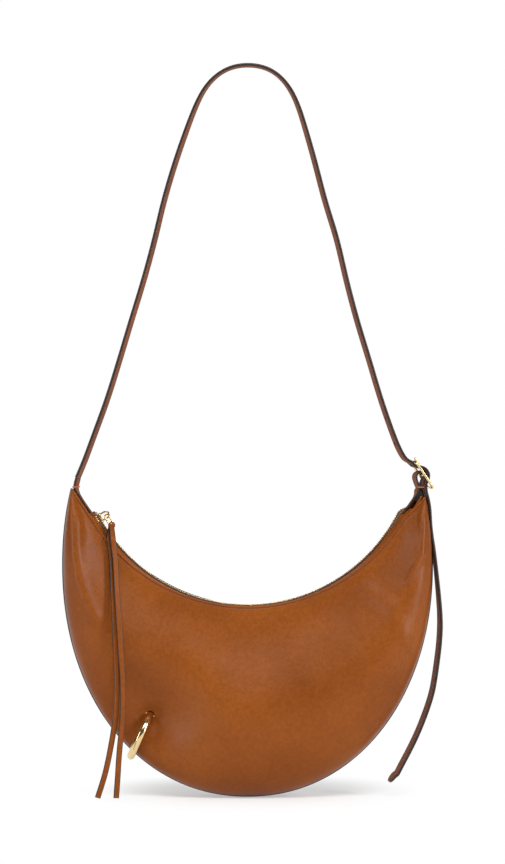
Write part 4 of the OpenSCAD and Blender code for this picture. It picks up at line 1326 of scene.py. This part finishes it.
def make_strap():
    """The long strap from the left tip over the top to the buckle, with its punched holes."""
    line = resample(middle_line("strap", (-157, 293)), step=2.5)
    run = run_lengths(line)
    line = smoothed(line, run, run[-1] - smooth_until)
    places = upright(line)
    # The turn runs out at the top; near the buckle the front edge leans right instead
    leaning = step_up(run, run[-1] - lean_from, lean_reach)
    turns = strap_turn * (1 - leaning) * (1 - np.exp(-(line[:, 0] / top_half_l) ** 4))
    places[:, 0] -= end_close * step_up(run, run[-1] - close_from, close_reach)
    strap = sweep("strap", places, (0, 1, 0), strap_section, [strap_leather, edge_paint], turns=turns,
                  paint_from=strap_w / 2 - edge_paint_w, lean=hang_lean * leaning)
    cutters = []
    for k in range(hole_count):
        at = run[-1] - first_hole - k * hole_pitch
        centre, ahead = (np.array([np.interp(d, run, places[:, i]) for i in range(3)]) for d in (at, at + 1))
        along = unit(ahead - centre)
        through = 2 * strap_t * np.array([along[2], 0, -along[0]])
        cutters.append(rod("hole", centre - through, centre + through, hole_r, edge_paint, 32))
    cut_away(strap, cutters)
    return seat(strap, "strap", "strap_leather", "strap")


make_strap()


# Bar tack: thick thread in stitches side by side, with shares of one's height and of its thickness
tack_thread_r = 0.32
tack_close_share = 0.95
STITCH_SHARES = [(0, 0.4), (0.15, 1), (0.5, 1.15), (0.85, 1), (1, 0.4)]
tack_turn = np.linspace(0, 2 * np.pi, 8, endpoint=False)


def tack_parts(middle, width, half_span, height, lean):
    """Bar tack: close satin stitches over both faces of a leather band, and round its two edges."""
    stitches = []
    r = tack_thread_r
    low = middle[1] - height / 2
    for y in np.linspace(r - half_span, half_span - r, int(half_span / (r * tack_close_share))):
        for x in (middle[0] - width / 2 - y * lean, middle[0] + width / 2 - y * lean):
            stitches.append([[x + r * share * math.cos(a), y + r * share * math.sin(a), low + height * f]
                             for f, share in STITCH_SHARES for a in tack_turn])
    for y in (-half_span, half_span):
        x = middle[0] - y * lean
        stitches.append([[x + width / 2 * f, y + r * math.cos(a), middle[1] + height / 2 * math.sin(a)]
                         for f in (-1, 1) for a in tack_turn])
    return [make_mesh_object("tack_thread", points, tube_faces(len(points) // len(tack_turn), len(tack_turn)),
                             [tack_thread], sharp=80) for points in stitches]


# Middle lines of the leather at the two tips, as x and height
LEFT_ROOT = [(-156.7, 293.2), (-157.6, 289.7), (-158.3, 286.0), (-158.1, 283.0), (-156.7, 279.3),
             (-154.2, 274.9), (-150.0, 268.4), (-145.5, 262.0), (-142.6, 257.5)]
TAB_LINE = [(157.8, 284.9), (156.5, 287.4), (155.1, 291.1), (154.5, 294.5), (155.5, 297.4), (157.9, 299.0),
            (160.9, 299.4), (163.4, 297.9), (163.6, 295.2), (162.4, 292.0), (161.1, 288.8), (160.0, 284.9)]
OUTER_LEG = [(157.7, 284.3), (156.2, 281.8), (155.6, 278.6), (153.5, 274.7), (149.8, 269.3),
             (145.7, 263.8), (143.2, 260.5)]
INNER_LEG = [(160.1, 284.3), (161.7, 281.4), (163.1, 277.2), (164.2, 272.6), (165.5, 266.6), (166.6, 261.0)]
# Outline, as x and height, of a dark wedge between the tab's two legs: painted shade, in edge paint, for the
# shadowed inside of the tip that shows between them
SHADE_CORE_OUTLINE = [(158.8, 283.4), (157.0, 280.9), (156.2, 277.2), (154.3, 273.5), (157.1, 270.7),
                (161.2, 271.2), (163.3, 273.5), (162.1, 277.7), (160.7, 281.4)]
root_w = tip_d - 2 * leather_t - 1.4
# The strap's root straightens from this distance on, and its tack goes round it at a point of its line
root_turn_from = 6.0
root_turn_reach = 12.0
tack_point = 8
strap_tack_w = strap_t + 0.5
strap_tack_h = 1.3
# Below its tack the tab's layers are thinner and narrower, and they stop leaning
tab_w = 14.6
tab_t = 1.8
tab_round = 0.6
leg_w = root_w - 1
leg_t = tab_t - 0.2
leg_lean_from = 2.0
leg_lean_reach = 10.0
# Half depth of the dark wedge of painted shade between the tab's legs
shade_core_half_w = root_w / 2 - 2


def make_left_root():
    """The strap's lower end, which bends from the strap to the bag, with a bar tack across it."""
    line = resample(np.array(LEFT_ROOT), step=1.0)
    section = rounded_section(root_w, strap_t, strap_round, per_side=6)
    root = sweep("strap_root", upright(line), (0, 1, 0), section, [strap_leather, edge_paint],
                 paint_from=root_w / 2 - edge_paint_w,
                 turns=-strap_turn * (1 - step_up(run_lengths(line), root_turn_from, root_turn_reach)))
    tack = join("strap_tack", tack_parts(line[tack_point], strap_tack_w, root_w / 2, strap_tack_h,
                                         -math.tan(strap_turn)))
    root.data.materials.append(tack_thread)
    tack.data.polygons.foreach_set("material_index", np.full(len(tack.data.polygons), 2, dtype=np.int32))
    root = join("strap_root", [root, tack])
    tuple(place((-158, 0, 296)))
    tuple(place((-158, 0, 283)))
    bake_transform(root)
    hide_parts("strap_root")


make_left_root()


def make_right_root():
    """The tab's two layers part below the tack: one along the mouth, one down the side."""
    legs = []
    for leg in (OUTER_LEG, INNER_LEG):
        line = resample(np.array(leg), step=1.0)
        lean = hang_lean * (1 - step_up(run_lengths(line), leg_lean_from, leg_lean_reach))
        section = rounded_section(leg_w, leg_t, tab_round, per_side=6)
        legs.append(sweep("leg", upright(line), (0, 1, 0), section, [strap_leather, edge_paint],
                          paint_from=leg_w / 2 - edge_paint_w, lean=lean))
    # The wedge between the legs is painted shade: it is edge paint all over, standing for the shadowed inside
    # of the tip
    points = [[x, y, h] for y in (-shade_core_half_w, shade_core_half_w) for x, h in SHADE_CORE_OUTLINE]
    faces = tube_faces(2, len(SHADE_CORE_OUTLINE))
    legs.append(make_mesh_object("core", points, faces, [strap_leather, edge_paint], [1] * len(faces)))
    root = join("tab_root", legs)
    tuple(place((160, 0, 286)))
    tuple(place((160, 0, 279)))
    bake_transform(root)
    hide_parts("tab_root")


make_right_root()


# Loose tail: it hangs closer to the tip for its first part, bulges a little, and turns further down
tail_close_until = 45.0
tail_close_fade = 70.0
tail_bulge = 0.6
tail_bulge_from = 8.0
tail_bulge_rise = 20.0
tail_bulge_fade = 60.0
tail_turn = math.radians(9)
tail_turn_from = 40.0
tail_turn_reach = 90.0
tail_lean_share = 0.5
tail_lean_from = 10.0
tail_lean_fade = 40.0
tail_tip_share = 0.05


def make_loose_tail():
    """The strap's loose end, which hangs from the buckle."""
    line = middle_line("strap_tail", (133, 17))[::-1]
    ahead = unit(line[-1] - line[-3])
    behind = unit(line[0] - line[2])
    line = resample(np.concatenate([[line[0] + behind], line, [line[-1] + ahead * strap_w / 2]]), step=1.5)
    run = run_lengths(line)
    close = end_close * np.clip(1 - (run - tail_close_until) / tail_close_fade, 0, 1)
    bulge = step_up(run, tail_bulge_from, tail_bulge_rise)
    line[:, 0] -= close + tail_bulge * bulge * (1 - step_up(run, tail_close_until, tail_bulge_fade))
    # Its end is rounded off
    left = np.clip((run[-1] - run) / (strap_w / 2), 0, 1)
    widths = np.maximum(np.sqrt(1 - (1 - left) ** 2), tail_tip_share)
    turns = tail_turn * np.clip((run - tail_turn_from) / tail_turn_reach, 0, 1)
    lean = tail_lean_share * hang_lean * (1 - step_up(run, tail_lean_from, tail_lean_fade))
    tail = sweep("strap_tail", upright(line), (0, 1, 0), strap_section, [strap_leather, edge_paint],
                 turns=turns, widths=widths, paint_from=strap_w / 2 - edge_paint_w, lean=lean)
    return seat(tail, "tail", "strap_leather", "strap_tail")


make_loose_tail()


def make_tab():
    """Leather tab round the buckle's bar."""
    line = resample(np.array(TAB_LINE), step=0.6)
    section = rounded_section(tab_w, tab_t, tab_round, per_side=10)
    tab = sweep("tab_loop", upright(line), (0, 1, 0), section, [strap_leather, edge_paint],
                paint_from=tab_w / 2 - tab_round / 2, lean=hang_lean)
    return seat(tab, "strap", "strap_leather", "tab_loop")


make_tab()

# Buckle: frame and bar of round rod, leaning like the strap
frame_rod_r = 1.15
frame_corner = 4.2
frame_inset = 0.6
frame_sides = 20
bar_r = 1.3


def make_buckle():
    """Rectangular frame of round rod, and the bar across its middle."""
    low, high = box_mm("buckle_frame")
    middle = np.array([(low[0] + high[0]) / 2, 0, (low[2] + high[2]) / 2 + hang_h])
    reach = np.array([high[0] - low[0], 0, low[2] - high[2]]) / 2
    along = unit(reach)
    half_l = np.linalg.norm(reach) - frame_rod_r - frame_inset
    half_y = high[1] - frame_rod_r
    outline = rounded_section(2 * half_l, 2 * half_y, frame_corner, per_corner=9, per_side=1)
    path = middle + outline[:, :1] * along + outline[:, 1:] * np.array([0, 1, 0])
    path = resample(np.concatenate([path, path[:1]]), step=0.8)[:-1]
    tangent = unit(np.roll(path, -1, axis=0) - np.roll(path, 1, axis=0))
    flat = np.cross(along, (0, 1, 0))
    outward = np.cross(tangent, flat)
    turn = np.linspace(0, 2 * np.pi, frame_sides, endpoint=False)
    points = (path[:, None] + frame_rod_r * (np.cos(turn)[None, :, None] * outward[:, None]
                                             + np.sin(turn)[None, :, None] * flat[None, None]))
    points[..., 0] -= points[..., 1] * hang_lean
    made = make_mesh_object("buckle_frame", points.reshape(-1, 3), tube_faces(*points.shape[:2], True),
                            [gold], sharp=80)
    seat(made, "strap", "gold_metal", "buckle_frame")
    low, high = box_mm("buckle_bar")
    x, h = (low[0] + high[0]) / 2, (low[2] + high[2]) / 2 + hang_h
    slant = half_y * hang_lean
    bar = rod("buckle_bar", (x + slant, -half_y, h), (x - slant, half_y, h), bar_r, gold)
    seat(bar, "strap", "gold_metal", "buckle_bar")


make_buckle()


# The tack that closes the tab: it reaches over both layers
TAB_TACK_MIDDLE = (158.9, 285.1)
tab_tack_w = 4.6
tab_tack_h = 1.1
tab_tack = join("tab_bar_tack", tack_parts(TAB_TACK_MIDDLE, tab_tack_w, tab_w / 2, tab_tack_h, hang_lean))
seat(tab_tack, "strap", "thread", "tab_bar_tack")


make_ring()
make_sleeve()

# Nodes whose CAD shape is right get their finish
for node_name in ("buckle_prong", "pull_loop"):
    node_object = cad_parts[node_name]
    if not node_object.data.materials:
        node_object.data.materials.append(gold)
    for material_slot in node_object.material_slots:
        material_slot.material = gold


# Studio: white paper under and behind the bag, soft lamps and a pale room

paper_w = 6000.0
paper_front = -2200.0
paper_back = 3800.0
paper_high = 5200.0
paper_bend = 700.0
paper_drop = 1.2
# The paper shows the bag's shadow near this place, and fades to white further out
shadow_y = 40.0
shadow_in = 70.0
shadow_out = 170.0


def make_paper_sweep():
    """White paper that runs from before the bag, under it and up behind it; it takes the shadow."""
    material, tree, _ = new_material("white_paper_sweep")
    tree.nodes.clear()
    paper = add_node(tree, "ShaderNodeBsdfDiffuse", inputs={"Color": linear("#f3f3f3")})
    white = add_node(tree, "ShaderNodeEmission", inputs={"Color": linear("#ffffff"), "Strength": 1})
    rays = add_node(tree, "ShaderNodeLightPath")
    seen = add_node(tree, "ShaderNodeMath", {"operation": "MAXIMUM"},
                    {0: rays.outputs["Is Camera Ray"], 1: rays.outputs["Is Glossy Ray"]})
    seen = add_node(tree, "ShaderNodeMath", {"operation": "MAXIMUM"},
                    {0: seen.outputs[0], 1: rays.outputs["Is Transmission Ray"]})
    # Seen directly, the paper is as white as the backdrop except close to the object's shadow
    place_on = add_node(tree, "ShaderNodeNewGeometry")
    middle = (camera_x * MM, shadow_y * MM, -hang_h * MM)
    away = add_node(tree, "ShaderNodeVectorMath", {"operation": "DISTANCE"},
                    {0: place_on.outputs["Position"], 1: middle})
    outer = add_node(tree, "ShaderNodeMapRange", {"interpolation_type": "SMOOTHSTEP"},
                     {"Value": away.outputs["Value"], "From Min": shadow_in * MM,
                      "From Max": shadow_out * MM, "To Min": 0.35, "To Max": 1.0})
    share = add_node(tree, "ShaderNodeMath", {"operation": "MULTIPLY"},
                     {0: seen.outputs[0], 1: outer.outputs[0]})
    mix = add_node(tree, "ShaderNodeMixShader", inputs={0: share.outputs[0], 1: paper.outputs[0],
                                                        2: white.outputs[0]})
    add_node(tree, "ShaderNodeOutputMaterial", inputs={"Surface": mix.outputs[0]})
    bend = [(paper_back - paper_bend * (1 - math.sin(a)), paper_bend * (1 - math.cos(a)))
            for a in np.linspace(0, math.pi / 2, 17)]
    profile = [(paper_front, 0), *bend, (paper_back, paper_high)]
    points = [[x, y, h - paper_drop] for y, h in profile for x in (-paper_w / 2, paper_w / 2)]
    faces = [[2 * i, 2 * i + 1, 2 * i + 3, 2 * i + 2] for i in range(len(profile) - 1)]
    mesh = bpy.data.meshes.new("paper_sweep")
    mesh.from_pydata(place(points).tolist(), [], faces)
    mesh.materials.append(material)
    for polygon in mesh.polygons:
        polygon.use_smooth = True
    floor = bpy.data.objects.new("paper_sweep", mesh)
    bpy.context.scene.collection.objects.link(floor)


make_paper_sweep()

# Softboxes, which all point at the bag: place, width and height in metres, and power
SOFTBOXES = {
    "softbox_left": ((-1.9, -1.3, -0.1), (0.6, 1.6), 24),
    "softbox_right": ((2.0, -1.2, 0.0), (0.5, 1.6), 40),
    "softbox_top": ((0.1, -1.4, 1.1), (1.4, 0.7), 24),
}
bag_middle = Vector((0, 0, -0.52))
for lamp_name, (lamp_place, lamp_size, lamp_power) in SOFTBOXES.items():
    lamp_data = bpy.data.lights.new(lamp_name, "AREA")
    lamp_data.shape = "RECTANGLE"
    lamp_data.size, lamp_data.size_y = lamp_size
    lamp_data.energy = lamp_power
    lamp = bpy.data.objects.new(lamp_name, lamp_data)
    lamp.location = lamp_place
    lamp.rotation_euler = (bag_middle - Vector(lamp_place)).to_track_quat("-Z", "Y").to_euler()
    bpy.context.scene.collection.objects.link(lamp)

# Light that the room gives back, and how bright the room looks in shiny surfaces
room_level = 0.5
room_mirrored = 0.1
world = bpy.data.worlds.new("studio")
bpy.context.scene.world = world
world.use_nodes = True
world_tree = world.node_tree
world_tree.nodes.clear()
world_rays = add_node(world_tree, "ShaderNodeLightPath")
world_seen = add_node(world_tree, "ShaderNodeMath", {"operation": "MAXIMUM"},
                      {0: world_rays.outputs["Is Camera Ray"], 1: world_rays.outputs["Is Transmission Ray"]})
world_room = add_node(world_tree, "ShaderNodeMapRange", inputs={
    "Value": world_rays.outputs["Is Glossy Ray"], "To Min": room_level, "To Max": room_mirrored})
world_level = add_node(world_tree, "ShaderNodeMapRange", inputs={
    "Value": world_seen.outputs[0], "To Min": world_room.outputs[0], "To Max": 1.0})
background = add_node(world_tree, "ShaderNodeBackground", inputs={
    "Color": linear("#ffffff"), "Strength": world_level.outputs[0]})
add_node(world_tree, "ShaderNodeOutputWorld", inputs={"Surface": background.outputs[0]})
bpy.context.scene.view_settings.view_transform = "Standard"
